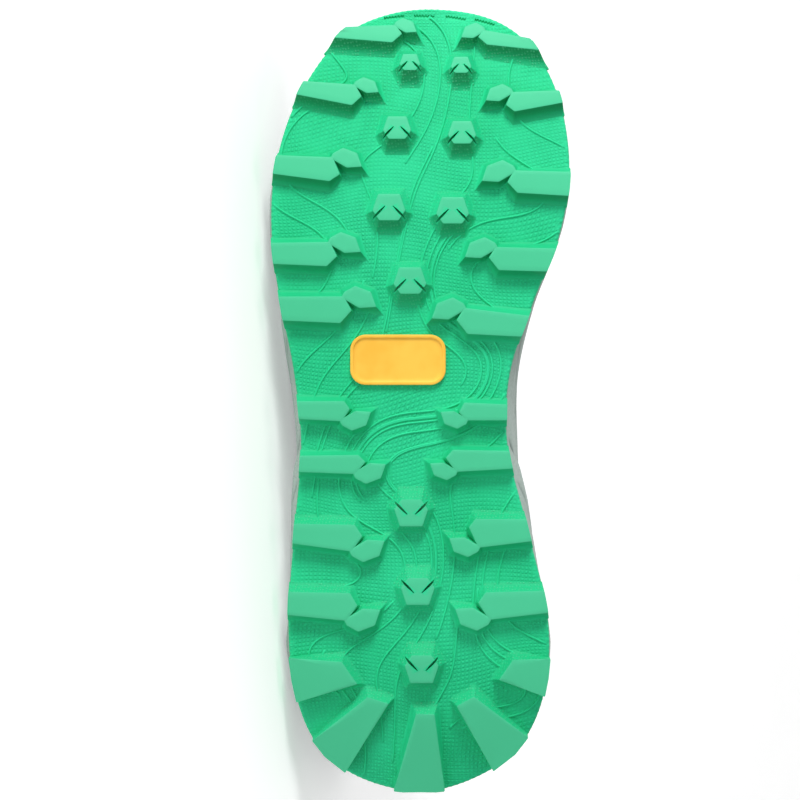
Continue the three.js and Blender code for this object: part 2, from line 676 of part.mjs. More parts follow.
function outsole() {
  const outerEdge = (u) => treadEdge.point(u);
  const innerEdge = (u) => treadEdge.point(u)
    .addScaledVector(treadEdge.normal(u), -TOE_LIP_WALL * lipShare(u));
  const lipTop = (x, u) => treadBase(x) + RUBBER + TOE_LIP_HEIGHT * lipShare(u);
  const sheet = ringSolid([
    ring((u) => flatPoint(outerEdge(u), treadBase(outerEdge(u).x))),
    ring((u) => flatPoint(outerEdge(u), lipTop(outerEdge(u).x, u))),
    ring((u) => flatPoint(innerEdge(u), lipTop(outerEdge(u).x, u))),
    ring((u) => flatPoint(innerEdge(u), treadBase(innerEdge(u).x) + RUBBER)),
  ]);
  const blocks = [
    ...edgeLugs.map(edgeLug),
    ...middleLugs.map(middleLug),
    ...heelLugs.map(heelLug),
  ];
  const pocketOutline = plateOutline(-GAP);
  const pocket = treadBlock(pocketOutline, pocketOutline, -PLATE_POCKET, LUG_HEIGHT);
  return blocks.reduce((solid, block) => solid.add(block), sheet).subtract(pocket);
}

// Levels up the midsole's side: share of the height, share of the way from the tread's edge to
// the rim's edge, share of the bulge, and how far a groove cuts in.
const sideLevels = table(['up', 'inwards', 'bulge', 'groove'], [
  [0.00, 0.00, 0.00, 0.0],
  [0.14, 0.00, 0.80, 0.0],
  [0.36, 0.06, 1.00, 0.0],
  [0.44, 0.10, 1.00, 1.4],
  [0.52, 0.22, 0.90, 0.2],
  [0.80, 0.66, 0.35, 0.0],
  [1.00, 1.00, 0.00, 0.0],
]);
// Diagonal flutes moulded into the foam's side, each as long as this many rows
const FLUTE_ROWS = 2;
const FLUTE_DEPTH = 1.8;
const FLUTE_SLANT = 1;

// How deep the flutes cut at row u and height share up. They fade out at heel, toe and borders.
function fluteDepth(u, up) {
  const from = rowFromHeel(u);
  const phase = (from + up * FLUTE_SLANT) / FLUTE_ROWS;
  const valley = 1 - Math.abs(2 * (phase - Math.floor(phase)) - 1);
  const fade = smooth(1, 3, from) * (1 - smooth(TOE_ROW - 5, TOE_ROW - 3, from));
  const band = smooth(0, 0.3, up) * (1 - smooth(0.75, 0.95, up));
  return FLUTE_DEPTH * valley * fade * band;
}

function midsole() {
  const rimEdge = (u) => {
    const p = upperAt(u, kAtRim(u), GAP + RIM_WALL);
    return new THREE.Vector2(p.x, p.y);
  };
  const side = sideLevels.map((level) => ring((u) => {
    const edge = treadEdge.point(u);
    const away = treadEdge.normal(u);
    const share = lipShare(u);
    const behindLip = share > 0 ? TOE_LIP_WALL * share + GAP : 0;
    const lowEdge = edge.clone().addScaledVector(away, -behindLip);
    const x = edge.x;
    const bulgeName = u > 0 && u < TOE_ROW ? 'medial' : 'lateral';
    const bulge = RIM_WALL * alongTable(bulges, bulgeName, x / SOLE_LENGTH) * level.bulge
      * Math.max(1 - 3 * share, 0);
    const cut = level.groove + fluteDepth(u, level.up);
    const p = lowEdge.clone().lerp(rimEdge(u), level.inwards).addScaledVector(away, bulge - cut);
    const low = foamBottom(lowEdge.x);
    return flatPoint(p, low + (rimHeight(lastEdge.point(u).x) - low) * level.up);
  }));
  const inside = [1, 0.5, 0].map((share) => ring((u) => {
    const p = upperAt(u, kAtRim(u) * share, GAP);
    if (share === 0) p.z = footbed(p.x);
    if (share === 1) p.z = rimHeight(lastEdge.point(u).x);
    return p;
  }));
  return ringSolid([...side, ...inside]);
}

function insole() {
  const edge = (u) => upperAt(u, 0, -UPPER_WALL - INSOLE_CLEARANCE);
  const level = (lift) => ring((u) => flatPoint(edge(u), footbed(edge(u).x) + lift));
  return ringSolid([level(GAP), level(GAP + INSOLE)]);
}

// Eyelets lie on each side of the throat, this far in from its edge.
const EYELET_PAIRS = 6;
const EYELET_INSET = 7;
const eyeletRows = Array.from({ length: EYELET_PAIRS }, (_, i) =>
  TOP_EYELET_ROW + ((LOW_EYELET_ROW - TOP_EYELET_ROW) * i) / (EYELET_PAIRS - 1));
const EYELET_SIDES = 6;

function eyeletPin(u) {
  const k = kAtLength(u, EYELET_INSET, true);
  const inside = upperAt(u, k, -3 * UPPER_WALL);
  const outside = upperAt(u, k, 3 * UPPER_WALL);
  const axis = outside.clone().sub(inside);
  const geometry = new THREE.CylinderGeometry(
    EYELET_RADIUS, EYELET_RADIUS, axis.length(), EYELET_SIDES);
  const matrix = new THREE.Matrix4().makeRotationFromQuaternion(
    new THREE.Quaternion().setFromUnitVectors(new THREE.Vector3(0, 1, 0), axis.normalize()));
  geometry.applyMatrix4(matrix.setPosition(inside.add(outside).multiplyScalar(0.5)));
  return solidFrom(geometry);
}

const otherSide = (u) => LOOP_ROWS - u;
const eyeletPins = eyeletRows.flatMap((u) => [eyeletPin(u), eyeletPin(otherSide(u))]);
const withEyelets = (solid) => eyeletPins.reduce((left, pin) => left.subtract(pin), solid);

function upper() {
  const bands = sheetBands(columnRows, () => 0, () => 1, (u, k) => -wallAt(u, k), () => 0);
  return withEyelets(bandSolid(bands, true));
}

// Overlays lie on the upper, from just above the rim or from the throat's edge.
const ABOVE_RIM_K = 0.015;
const LEAST_OVERLAY_K = 0.03;
const aboveRim = (u) => kAtRim(u) + ABOVE_RIM_K;
const onUpper = (rows, bottomK, topK) => bandSolid(
  sheetBands(rows, bottomK, topK, () => OVERLAY_GAP, () => OVERLAY_GAP + OVERLAY), false);

const TOE_CAP_FROM_ROW = 10.5;
const TOE_CAP_HEIGHT = 34;
const TOE_CAP_END_HEIGHT = 9;
function toeCap() {
  const rows = rowsBetween(TOE_CAP_FROM_ROW, otherSide(TOE_CAP_FROM_ROW));
  return onUpper(rows, aboveRim, (u) => {
    const share = smooth(TOE_CAP_FROM_ROW, TOE_ROW - 1.5, rowFromHeel(u));
    const height = TOE_CAP_END_HEIGHT + (TOE_CAP_HEIGHT - TOE_CAP_END_HEIGHT) * share;
    return Math.max(kAtLength(u, height), aboveRim(u) + LEAST_OVERLAY_K);
  });
}

const HEEL_COUNTER_TO_ROW = 4.5;
const HEEL_COUNTER_HEIGHT = 46;
const HEEL_COUNTER_END_HEIGHT = 18;
function heelCounter() {
  const rows = rowsBetween(-HEEL_COUNTER_TO_ROW, HEEL_COUNTER_TO_ROW);
  return onUpper(rows, aboveRim, (u) => {
    const share = 1 - smooth(0.6, HEEL_COUNTER_TO_ROW, rowFromHeel(u));
    return kAtLength(
      u, HEEL_COUNTER_END_HEIGHT + (HEEL_COUNTER_HEIGHT - HEEL_COUNTER_END_HEIGHT) * share);
  });
}

const EYESTAY_FROM_ROW = 5.5;
const EYESTAY_WIDTH = 14;
const EYESTAY_FRONT_WIDTH = 11;
const EYESTAY_TOP_K = 0.995;
function eyestay() {
  const rows = rowsBetween(EYESTAY_FROM_ROW, otherSide(EYESTAY_FROM_ROW));
  const border = (u) => {
    const share = smooth(LOW_EYELET_ROW, TOE_ROW - 3, rowFromHeel(u));
    return kAtLength(u, EYESTAY_WIDTH + (EYESTAY_FRONT_WIDTH - EYESTAY_WIDTH) * share, true);
  };
  return withEyelets(onUpper(rows, border, () => EYESTAY_TOP_K));
}

// The tongue's face follows the inside of the upper one wall level down from the throat's edges
// and bridges the throat between them. Past the top eyelets it runs on free, up and back, opens
// to a shallow arc and ends round.
const TONGUE_FRONT_ROW = 12;
const TONGUE_FREE_STATIONS = 5;
const TONGUE_TIP_HALF_WIDTH = 22;
const TONGUE_TIP_SAG = 5;
const TONGUE_TUCK = 0.24;
const TONGUE_ROUNDNESS = 0.75;
const TONGUE_ROOT_ANGLE = THREE.MathUtils.degToRad(36);
const TONGUE_TIP_ANGLE = THREE.MathUtils.degToRad(58);
// How far the tongue's crown arches over the throat, as a share of the throat's width
const CROWN = 0.33;
// Share of the free end where it is flat and starts to round off
const TONGUE_FLAT_AT = 0.8;
const TONGUE_ROUNDS_FROM = 0.5;

function tongueSection(u, lift) {
  const depth = -UPPER_WALL - TONGUE_CLEARANCE + lift;
  const flank = (row) => wallLevels.slice(-2).map((k) => upperAt(row, k, depth));
  const medial = flank(u);
  const lateral = flank(otherSide(u)).reverse();
  const span = medial[1].distanceTo(lateral[0]);
  const handle = (end, inner) => end.clone().addScaledVector(
    end.clone().sub(inner).normalize(), span * CROWN);
  const bridge = new THREE.CubicBezierCurve3(
    medial[1], handle(medial[1], medial[0]), handle(lateral[0], lateral[1]), lateral[0]);
  return [...medial, ...[0.25, 0.5, 0.75].map((t) => bridge.getPoint(t)), ...lateral];
}

function tongue() {
  // Section of the free end: across runs from 1 on the medial edge to -1 on the lateral one.
  const freeSection = (share, lift) => {
    const angle = TONGUE_ROOT_ANGLE + (TONGUE_TIP_ANGLE - TONGUE_ROOT_ANGLE) * share;
    const rise = new THREE.Vector3(-Math.cos(angle), 0, Math.sin(angle));
    const down = new THREE.Vector3(-rise.z, 0, rise.x);
    const root = tongueSection(THROAT_ROW, 0);
    const crown = root[(root.length - 1) / 2];
    const flat = smooth(0, TONGUE_FLAT_AT, share);
    const rounded = Math.max(share - TONGUE_ROUNDS_FROM, 0) / (1 - TONGUE_ROUNDS_FROM);
    const width = TONGUE_TIP_HALF_WIDTH * Math.sqrt(1 - TONGUE_ROUNDNESS * rounded ** 2);
    const tuck = 1 - TONGUE_TUCK * smooth(0, 0.2, share);
    return root.map((p, i) => {
      const across = 1 - (2 * i) / (root.length - 1);
      const open = crown.clone().addScaledVector(down, TONGUE_TIP_SAG * across * across - lift);
      open.y = across * width;
      const kept = p.clone().addScaledVector(down, -lift);
      kept.y *= tuck;
      return kept.lerp(open, flat).addScaledVector(rise, TONGUE_FREE_LENGTH * share);
    });
  };
  const bands = [];
  for (let i = TONGUE_FREE_STATIONS; i > 0; i -= 1) {
    const share = i / TONGUE_FREE_STATIONS;
    bands.push([...freeSection(share, 0), ...freeSection(share, -TONGUE).reverse()]);
  }
  for (const u of rowsBetween(THROAT_ROW, TONGUE_FRONT_ROW)) {
    bands.push([...tongueSection(u, 0), ...tongueSection(u, -TONGUE).reverse()]);
  }
  return bandSolid(bands, false);
}

// Flat lace along a path: an oval section with the lace's width across the shoe's surface.
const LACE_SIDES = 4;
const LACE_STEPS = 6;
const LACE_HANDLE = 0.36;
function laceStrip(path, outwards) {
  const bands = [];
  for (let i = 0; i <= LACE_STEPS; i += 1) {
    const t = i / LACE_STEPS;
    const tangent = path.getTangent(t);
    const out = outwards(t);
    const across = tangent.clone().cross(out).normalize();
    const up = across.clone().cross(tangent).normalize();
    bands.push(Array.from({ length: LACE_SIDES }, (_, j) => {
      const angle = (2 * Math.PI * j) / LACE_SIDES;
      return path.getPoint(t)
        .addScaledVector(across, (Math.cos(angle) * LACE_WIDTH) / 2)
        .addScaledVector(up, (Math.sin(angle) * LACE_THICKNESS) / 2);
    }));
  }
  return bandSolid(bands, false);
}

function laces() {
  const lift = OVERLAY_GAP + OVERLAY + LACE_CLEARANCE + LACE_THICKNESS / 2;
  const end = (u) => upperAt(u, kAtLength(u, EYELET_INSET, true), lift);
  const outward = (u) => {
    const k = kAtLength(u, EYELET_INSET, true);
    return upperAt(u, k, 1).sub(upperAt(u, k, 0));
  };
  const strip = (from, to) => {
    const a = end(from);
    const b = end(to);
    const outA = outward(from);
    const outB = outward(to);
    const reach = a.distanceTo(b) * LACE_HANDLE;
    const along = b.clone().sub(a).normalize();
    const handle = (p, out, way) => {
      const flat = along.clone().addScaledVector(out, -along.dot(out)).normalize();
      return p.clone().addScaledVector(flat, way * reach);
    };
    const path = new THREE.CubicBezierCurve3(a, handle(a, outA, 1), handle(b, outB, -1), b);
    return laceStrip(path, (t) => outA.clone().lerp(outB, t));
  };
  const strips = [strip(eyeletRows[EYELET_PAIRS - 1], otherSide(eyeletRows[EYELET_PAIRS - 1]))];
  for (let i = 0; i < EYELET_PAIRS - 1; i += 1) {
    strips.push(strip(eyeletRows[i], otherSide(eyeletRows[i + 1])));
    strips.push(strip(eyeletRows[i + 1], otherSide(eyeletRows[i])));
  }
  return strips.reduce((solid, next) => solid.add(next));
}

// Finishes: colour, roughness
const rubberGreen = ['#35c78a', 0.62];
const plateYellow = ['#f7c557', 0.5];
const foamGrey = ['#c3cbc8', 0.8];
const knitGrey = ['#7f8a88', 0.95];
const overlayGrey = ['#4b5654', 0.6];
const liningGreen = ['#3fb887', 0.95];

const PRESSED_PIECES = ['midsole', 'upper'];
const pieces = {
  outsole: [outsole(), rubberGreen],
  inlay_plate: [plate(), plateYellow],
  midsole: [midsole(), foamGrey],
  insole: [insole(), liningGreen],
  upper: [upper(), knitGrey],
  toe_cap: [toeCap(), overlayGrey],
  heel_counter: [heelCounter(), overlayGrey],
  eyestay: [eyestay(), overlayGrey],
  tongue: [tongue(), knitGrey],
  laces: [laces(), liningGreen],
};

// Turn that lays the shoe down on its lateral side. It lies on one facet of its convex hull: of
// those that the centre of mass stands over, the one that faces the lateral side most squarely.
function layDown(solids) {
  const points = [];
  const centre = new THREE.Vector3();
  let volume = 0;
  for (const solid of solids) {
    const { vertProperties, triVerts } = solid.getMesh();
    const corner = (i) => new THREE.Vector3().fromArray(vertProperties, 3 * i);
    for (let i = 0; i < vertProperties.length / 3; i += 1) points.push(corner(i));
    for (let i = 0; i < triVerts.length; i += 3) {
      const [a, b, c] = [0, 1, 2].map((j) => corner(triVerts[i + j]));
      const part = a.dot(b.clone().cross(c)) / 6;
      volume += part;
      centre.addScaledVector(a.add(b).add(c), part / 4);
    }
  }
  centre.divideScalar(volume);
  const inside = (face) => {
    const corners = [face.edge, face.edge.next, face.edge.prev].map((e) => e.head().point);
    return corners.every((p, i) => {
      const edge = corners[(i + 1) % 3].clone().sub(p);
      return edge.cross(centre.clone().sub(p)).dot(face.normal) >= 0;
    });
  };
  const under = new ConvexHull().setFromPoints(points).faces.filter(inside);
  const lateral = new THREE.Vector3(0, -1, 0);
  const rest = under.reduce(
    (best, face) => (face.normal.dot(lateral) > best.normal.dot(lateral) ? face : best));
  // The floor's normal goes down, and the toe points along -X.
  const up = rest.normal.clone().negate();
  const heelwards = new THREE.Vector3(-1, 0, 0).addScaledVector(up, up.x).normalize();
  const turn = new THREE.Matrix4().makeBasis(heelwards, up.clone().cross(heelwards), up).invert();
  const box = new THREE.Box3().setFromPoints(points.map((p) => p.clone().applyMatrix4(turn)));
  const middle = box.getCenter(new THREE.Vector3());
  const height = -box.min.z - PRESSED_FLAT;
  return new THREE.Matrix4().makeTranslation(-middle.x, -middle.y, height).multiply(turn);
}

// Block under the floor, as it lies to the standing shoe.
function floorBlock(matrix) {
  const depth = 10 * PRESSED_FLAT;
  const box = new THREE.BoxGeometry(2 * SOLE_LENGTH, 2 * SOLE_LENGTH, depth);
  box.translate(0, 0, -depth / 2).applyMatrix4(matrix.clone().invert());
  return solidFrom(box);
}

// The foam and the padded collar are pressed flat where they touch the floor.
const standing = Object.values(pieces).map(([solid]) => solid);
const down = layDown(standing);
const floor = floorBlock(down);

const shoe = new THREE.Group();
for (const [name, [solid, [color, roughness]]] of Object.entries(pieces)) {
  const pressed = PRESSED_PIECES.includes(name) ? solid.subtract(floor) : solid;
  const { vertProperties, triVerts } = pressed.getMesh();
  const geometry = new THREE.BufferGeometry();
  geometry.setAttribute('position', new THREE.BufferAttribute(vertProperties, 3));
  geometry.setIndex(new THREE.BufferAttribute(triVerts, 1));
  const flatShaded = geometry.toNonIndexed();
  flatShaded.computeVertexNormals();
  const mesh = new THREE.Mesh(
    flatShaded, new THREE.MeshStandardMaterial({ color, roughness, metalness: 0 }));
  mesh.name = name;
  shoe.add(mesh);
}
down.decompose(shoe.position, shoe.quaternion, shoe.scale);

export default shoe;
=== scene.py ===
# %% [markdown]
# # A trail running shoe that lies on its side
# A shoe is built in layers: a rubber tread, a foam midsole, an upper that is pulled over a last,
# and a tongue and a lace on top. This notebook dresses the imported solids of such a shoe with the
# fine shapes and finishes of the real one. Every shape is first worked out for the standing shoe,
# in millimetres, and then laid down where the solids lie. So the first cell loads those solids.

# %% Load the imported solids
import json
import math

import bmesh
import bpy
import numpy as np
from mathutils import Matrix


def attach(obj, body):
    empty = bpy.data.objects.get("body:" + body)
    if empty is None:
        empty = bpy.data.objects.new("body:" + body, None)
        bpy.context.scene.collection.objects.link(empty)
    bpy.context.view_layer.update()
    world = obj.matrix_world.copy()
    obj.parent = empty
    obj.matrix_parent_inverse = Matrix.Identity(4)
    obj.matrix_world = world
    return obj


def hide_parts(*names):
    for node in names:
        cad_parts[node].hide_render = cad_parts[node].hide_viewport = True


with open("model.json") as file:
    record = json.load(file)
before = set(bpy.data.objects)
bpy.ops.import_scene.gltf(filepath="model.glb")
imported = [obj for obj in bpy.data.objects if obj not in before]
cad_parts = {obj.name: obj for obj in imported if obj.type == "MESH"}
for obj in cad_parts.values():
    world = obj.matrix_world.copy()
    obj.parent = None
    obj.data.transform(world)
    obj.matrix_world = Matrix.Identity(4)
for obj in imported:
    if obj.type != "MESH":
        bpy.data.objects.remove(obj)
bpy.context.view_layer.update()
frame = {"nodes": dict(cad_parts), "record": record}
print("solids:", ", ".join(sorted(frame["nodes"])))

# %% [markdown]
# ## How the shoe lies
# The record has a mount on the worn face of one blade of the tread. That face is in the ground
# plane of the standing shoe, so its axis is the direction that the soles look, and its place ties
# the standing shoe to the lying one. The toe points along -X with no part across, which settles
# the turn, and the medial side is square to both.

# %% The standing shoe's axes in the row frame
MM = 0.001
MOUNT_PLACE = np.array([124.0, -33.0, 0.0])


def unit(vectors):
    """Vectors of length one."""
    return vectors / np.linalg.norm(vectors, axis=-1, keepdims=True)


tread_mount = next(m for m in frame["record"]["mounts"] if m["name"] == "tread")
DOWN = unit(np.array(tread_mount["axis"], float))
TOE = unit(np.array([-DOWN[2], 0.0, DOWN[0]]))
MEDIAL = np.cross(-DOWN, TOE)
TURN = np.stack([TOE, MEDIAL, -DOWN])
ORIGIN = np.array(tread_mount["pos_m"], float) - MM * MOUNT_PLACE @ TURN


def lay(points):
    """Points of the standing shoe, in millimetres, laid down in the row frame in metres. What
    would reach through the floor is pressed flat on it."""
    laid = ORIGIN + MM * np.asarray(points) @ TURN
    laid[..., 2] = np.maximum(laid[..., 2], 0.0)
    return laid


print("toe points along", TOE.round(3), "and the tread faces", DOWN.round(3))

# %% [markdown]
# ## The camera
# The photograph looks straight at the tread. The toe turns up, so the sides of the lugs that face
# the heel show there. The camera keeps that angle to the shoe. It is rolled, because the toe is
# up in the photograph and the shoe lies on its side here.

# %% Camera
AIM = np.array([148.0, -7.6, 0.0])
DISTANCE = 1.4
FIELD = 0.3007
SENSOR = 36.0


def placed(name, data, axes=np.eye(3), place=(0, 0, 0)):
    """A new object of the scene, turned so that its own axes point along the given ones."""
    made = bpy.data.objects.new(name, data)
    pose = np.eye(4)
    pose[:3] = np.stack([*axes, place], -1)
    made.matrix_world = Matrix(pose.tolist())
    bpy.context.scene.collection.objects.link(made)
    return made


camera_data = bpy.data.cameras.new("camera")
camera_data.sensor_width = SENSOR
camera_data.lens = SENSOR * DISTANCE / FIELD
camera_place = lay(AIM) + DOWN * DISTANCE
bpy.context.scene.camera = placed("camera", camera_data, (MEDIAL, TOE, DOWN), camera_place)
print("camera at", camera_place.round(3), "lens", round(camera_data.lens, 1))

# %% [markdown]
# ## Sizes and tables
# These are the sizes that the solids are made from. The tables give shares of them along the
# shoe, from the heel to the toe, so that a smooth curve through a few stations is enough for an
# outline, a height or a line up the last.

# %% Sizes in millimetres
SOLE_LENGTH = 298
BALL_WIDTH = 113
UPPER_WIDTH = 101.5
INSTEP_HEIGHT = 78
HEEL_FOAM = 26
HEEL_RIM = 13
TOE_SPRING = 24
LUG_HEIGHT = 4.5
LUG_DRAFT = 1.5
RUBBER = 2.2
TOE_LIP_HEIGHT = 7
TOE_LIP_WALL = 2.4
RIM_WALL = 3
UPPER_WALL = 2
COLLAR_PADDING = 5
INSOLE = 4
INSOLE_CLEARANCE = 1.2
TONGUE = 4
TONGUE_CLEARANCE = 0.9
TONGUE_FREE_LENGTH = 30
EYELET_RADIUS = 2.4
GAP = 0.3


def table(columns, rows):
    """Named columns of a table, each one an array."""
    return dict(zip(columns, np.array(rows, float).T))


# %% Outline of the tread and heights along the shoe
sole_outline = table(["along", "medial", "lateral"], [
    [0.000, 0.000, 0.000],
    [0.018, 0.185, 0.200],
    [0.060, 0.336, 0.343],
    [0.130, 0.417, 0.419],
    [0.220, 0.427, 0.440],
    [0.340, 0.355, 0.418],
    [0.440, 0.292, 0.398],
    [0.530, 0.300, 0.421],
    [0.620, 0.378, 0.467],
    [0.700, 0.462, 0.496],
    [0.780, 0.500, 0.490],
    [0.860, 0.482, 0.436],
    [0.925, 0.420, 0.345],
    [0.968, 0.325, 0.245],
    [0.992, 0.200, 0.115],
    [1.000, 0.030, 0.030],
])
heights = table(["along", "spring", "foam", "rim"], [
    [0.000, 0.42, 0.63, 1.00],
    [0.060, 0.23, 0.80, 1.00],
    [0.120, 0.08, 0.93, 0.97],
    [0.180, 0.00, 1.00, 0.90],
    [0.340, 0.00, 0.97, 0.66],
    [0.530, 0.00, 0.90, 0.56],
    [0.620, 0.00, 0.86, 0.50],
    [0.700, 0.04, 0.81, 0.45],
    [0.780, 0.14, 0.73, 0.42],
    [0.860, 0.34, 0.64, 0.40],
    [0.925, 0.58, 0.56, 0.38],
    [0.968, 0.78, 0.50, 0.36],
    [1.000, 1.00, 0.42, 0.36],
])
bulges = table(["along", "medial", "lateral"], [
    [0.00, 0.25, 0.25],
    [0.13, 0.25, 0.45],
    [0.25, 0.40, 0.60],
    [0.34, 0.85, 0.80],
    [0.44, 1.50, 1.15],
    [0.53, 1.10, 0.85],
    [0.62, 0.30, 0.50],
    [0.72, 0.25, 0.35],
    [1.00, 0.10, 0.10],
])

# %% Lines up the last, each from its bottom edge to the top line of the upper
last_lines = table([
    "along", "medial", "lateral", "top_along", "top_across", "top_medial", "top_lateral",
    "out", "rise", "reach", "drop",
], [
    [0.035, 0.000, 0.000, 0.0170, 0.000, 0.860, 0.860, 0.100, 0.31, -0.115, 0.31],
    [0.048, 0.177, 0.172, 0.0290, 0.115, 0.850, 0.848, 0.085, 0.30, -0.090, 0.30],
    [0.085, 0.298, 0.292, 0.0670, 0.241, 0.800, 0.790, 0.060, 0.28, -0.050, 0.27],
    [0.140, 0.348, 0.352, 0.1380, 0.315, 0.728, 0.705, 0.045, 0.27, -0.020, 0.24],
    [0.220, 0.355, 0.366, 0.2200, 0.342, 0.690, 0.645, 0.040, 0.26, -0.010, 0.22],
    [0.340, 0.345, 0.382, 0.3250, 0.292, 0.800, 0.765, 0.040, 0.30, 0.040, 0.22],
    [0.440, 0.335, 0.404, 0.3960, 0.170, 1.000, 0.985, 0.035, 0.36, 0.130, 0.20],
    [0.530, 0.337, 0.441, 0.4700, 0.143, 0.925, 0.915, 0.035, 0.40, 0.180, 0.12],
    [0.620, 0.397, 0.483, 0.5500, 0.126, 0.800, 0.795, 0.035, 0.38, 0.210, 0.08],
    [0.700, 0.483, 0.502, 0.6240, 0.108, 0.695, 0.690, 0.030, 0.33, 0.260, 0.06],
    [0.780, 0.507, 0.478, 0.6740, 0.079, 0.622, 0.620, 0.030, 0.29, 0.330, 0.07],
    [0.860, 0.478, 0.419, 0.6930, 0.049, 0.596, 0.595, 0.030, 0.27, 0.400, 0.09],
    [0.915, 0.394, 0.325, 0.6990, 0.030, 0.587, 0.587, 0.025, 0.28, 0.460, 0.11],
    [0.950, 0.276, 0.207, 0.7013, 0.018, 0.584, 0.584, 0.020, 0.30, 0.510, 0.12],
    [0.970, 0.150, 0.082, 0.7023, 0.008, 0.583, 0.583, 0.020, 0.31, 0.540, 0.13],
    [0.977, 0.034, 0.034, 0.7027, 0.000, 0.583, 0.583, 0.020, 0.31, 0.550, 0.13],
])
ROWS = len(last_lines["along"])
LOOP_ROWS = 2 * (ROWS - 1)
TOE_ROW = ROWS - 1
PADDED_TO_ROW = 4.3
PADDING_ENDS_ROW = 5.4
THROAT_ROW = 6
TOP_EYELET_ROW = 6.3
LOW_EYELET_ROW = 9.6
PADDING_FROM_K = 0.5
PADDING_FULL_K = 0.85

# %% [markdown]
# ## Smooth curves through the tables
# A cubic curve through neighbouring values, with each slope taken from the two values beside it,
# passes through every station without corners. The same curve is used along a table, and round a
# loop that starts at the heel, runs up the medial side to the toe and comes back on the lateral
# side. The functions take whole arrays, so a fine grid costs one call.


# %% Curves along a table and round a loop
def hermite(a, b, slope_a, slope_b, t):
    """Cubic from a to b with the given slopes at its ends, for t from 0 to 1."""
    return (a * (2 * t**3 - 3 * t**2 + 1) + slope_a * (t**3 - 2 * t**2 + t)
            + b * (3 * t**2 - 2 * t**3) + slope_b * (t**3 - t**2))


def along_table(rows, column, at):
    """Value of a column at a share of the shoe's length: a cubic between the two stations beside
    it, with slopes across the stations next to them."""
    stations, values = rows["along"], rows[column]
    last = len(stations) - 1
    x = np.clip(at, stations[0], stations[-1])
    i = np.clip(np.searchsorted(stations, x) - 1, 0, last - 1)
    ahead = np.minimum(np.arange(last + 1) + 1, last)
    behind = np.maximum(np.arange(last + 1) - 1, 0)
    slope = (values[ahead] - values[behind]) / (stations[ahead] - stations[behind])
    width = stations[i + 1] - stations[i]
    t = (x - stations[i]) / width
    return hermite(values[i], values[i + 1], slope[i] * width, slope[i + 1] * width, t)


def loop_of(medial, lateral):
    """Values once round the shoe: heel, medial side, toe, lateral side."""
    return np.concatenate([medial, lateral[-2:0:-1]])


def loop_at(values, u):
    """Value of a loop at row u, which wraps round."""
    i = np.floor(u).astype(int)
    before, a, b, after = (values[(i + j) % len(values)] for j in (-1, 0, 1, 2))
    return hermite(a, b, (b - before) / 2, (after - a) / 2, u - i)


def smooth(start, end, t):
    """0 before start, 1 after end, and an S between them."""
    s = np.clip((t - start) / (end - start), 0, 1)
    return s * s * (3 - 2 * s)


def window(start, full, fades, end, t):
    """0 outside start and end, 1 from full to fades, and an S between them."""
    return smooth(start, full, t) * (1 - smooth(fades, end, t))


def bell(t, middle, width):
    """1 in the middle, and down to nothing on both sides."""
    return np.exp(-((t - middle) / width)**2)


def quarter(near, radius):
    """Rounded border: 0 on it, up along a quarter circle, and 1 from the radius on."""
    return np.sqrt(1 - (1 - np.clip(near / radius, 0, 1))**2)


def blend(a, b, share):
    """a where share is 0 and b where it is 1."""
    return a * (1 - share) + b * share


def stacked(*parts):
    """Points from their coordinates, which may have different shapes."""
    return np.stack(np.broadcast_arrays(*parts), -1)


def raised(plan, z):
    """Plan points with their heights."""
    return stacked(plan[..., 0], plan[..., 1], z)


def circle(count, first=0.0):
    """Angles that go once round."""
    return np.linspace(0, 2 * math.pi, count, endpoint=False) + first


def walked_along(line):
    """Length walked up to each point of a line, or of each of many lines."""
    walked = np.cumsum(np.linalg.norm(np.diff(line, axis=-2), axis=-1), -1)
    return np.concatenate([np.zeros(walked.shape[:-1] + (1,)), walked], -1)


def row_from_heel(u):
    """Distance of row u from the heel row, counted along either side."""
    wrapped = np.mod(u, LOOP_ROWS)
    return np.minimum(wrapped, LOOP_ROWS - wrapped)


def other_side(u):
    """The row across the shoe from row u."""
    return LOOP_ROWS - u


# %% Heights of the standing shoe over the ground
def spring_at(x):
    """How far the ground side lifts: most at the toe, a little at the heel."""
    return TOE_SPRING * along_table(heights, "spring", x / SOLE_LENGTH)


def tread_base(x):
    """Face of the rubber between the lugs."""
    return spring_at(x) + LUG_HEIGHT


def foam_bottom(x):
    """Underside of the foam, on the rubber."""
    return tread_base(x) + RUBBER + GAP


def footbed(x):
    """Floor of the shoe inside the rim."""
    return foam_bottom(x) + HEEL_FOAM * along_table(heights, "foam", x / SOLE_LENGTH)


def rim_height(x):
    """Top of the foam's raised rim."""
    return footbed(x) + HEEL_RIM * along_table(heights, "rim", x / SOLE_LENGTH)


# %% Plan outlines
class PlanLoop:
    """A closed outline seen from above, as a function of the row u."""

    def __init__(self, rows, width):
        self.x = loop_of(rows["along"], rows["along"]) * SOLE_LENGTH
        self.y = loop_of(rows["medial"], -rows["lateral"]) * width

    def point(self, u):
        """Point of the outline."""
        return np.stack([loop_at(self.x, u), loop_at(self.y, u)], -1)

    def normal(self, u, step=0.02):
        """Outward normal: the outline's direction turned a quarter left."""
        along = unit(self.point(u + step) - self.point(u - step))
        return np.stack([-along[..., 1], along[..., 0]], -1)


tread_edge = PlanLoop(sole_outline, BALL_WIDTH)
last_edge = PlanLoop(last_lines, UPPER_WIDTH)
print("tread is", np.ptp(tread_edge.point(np.arange(0, LOOP_ROWS, 0.1)), axis=0).round(1), "mm")

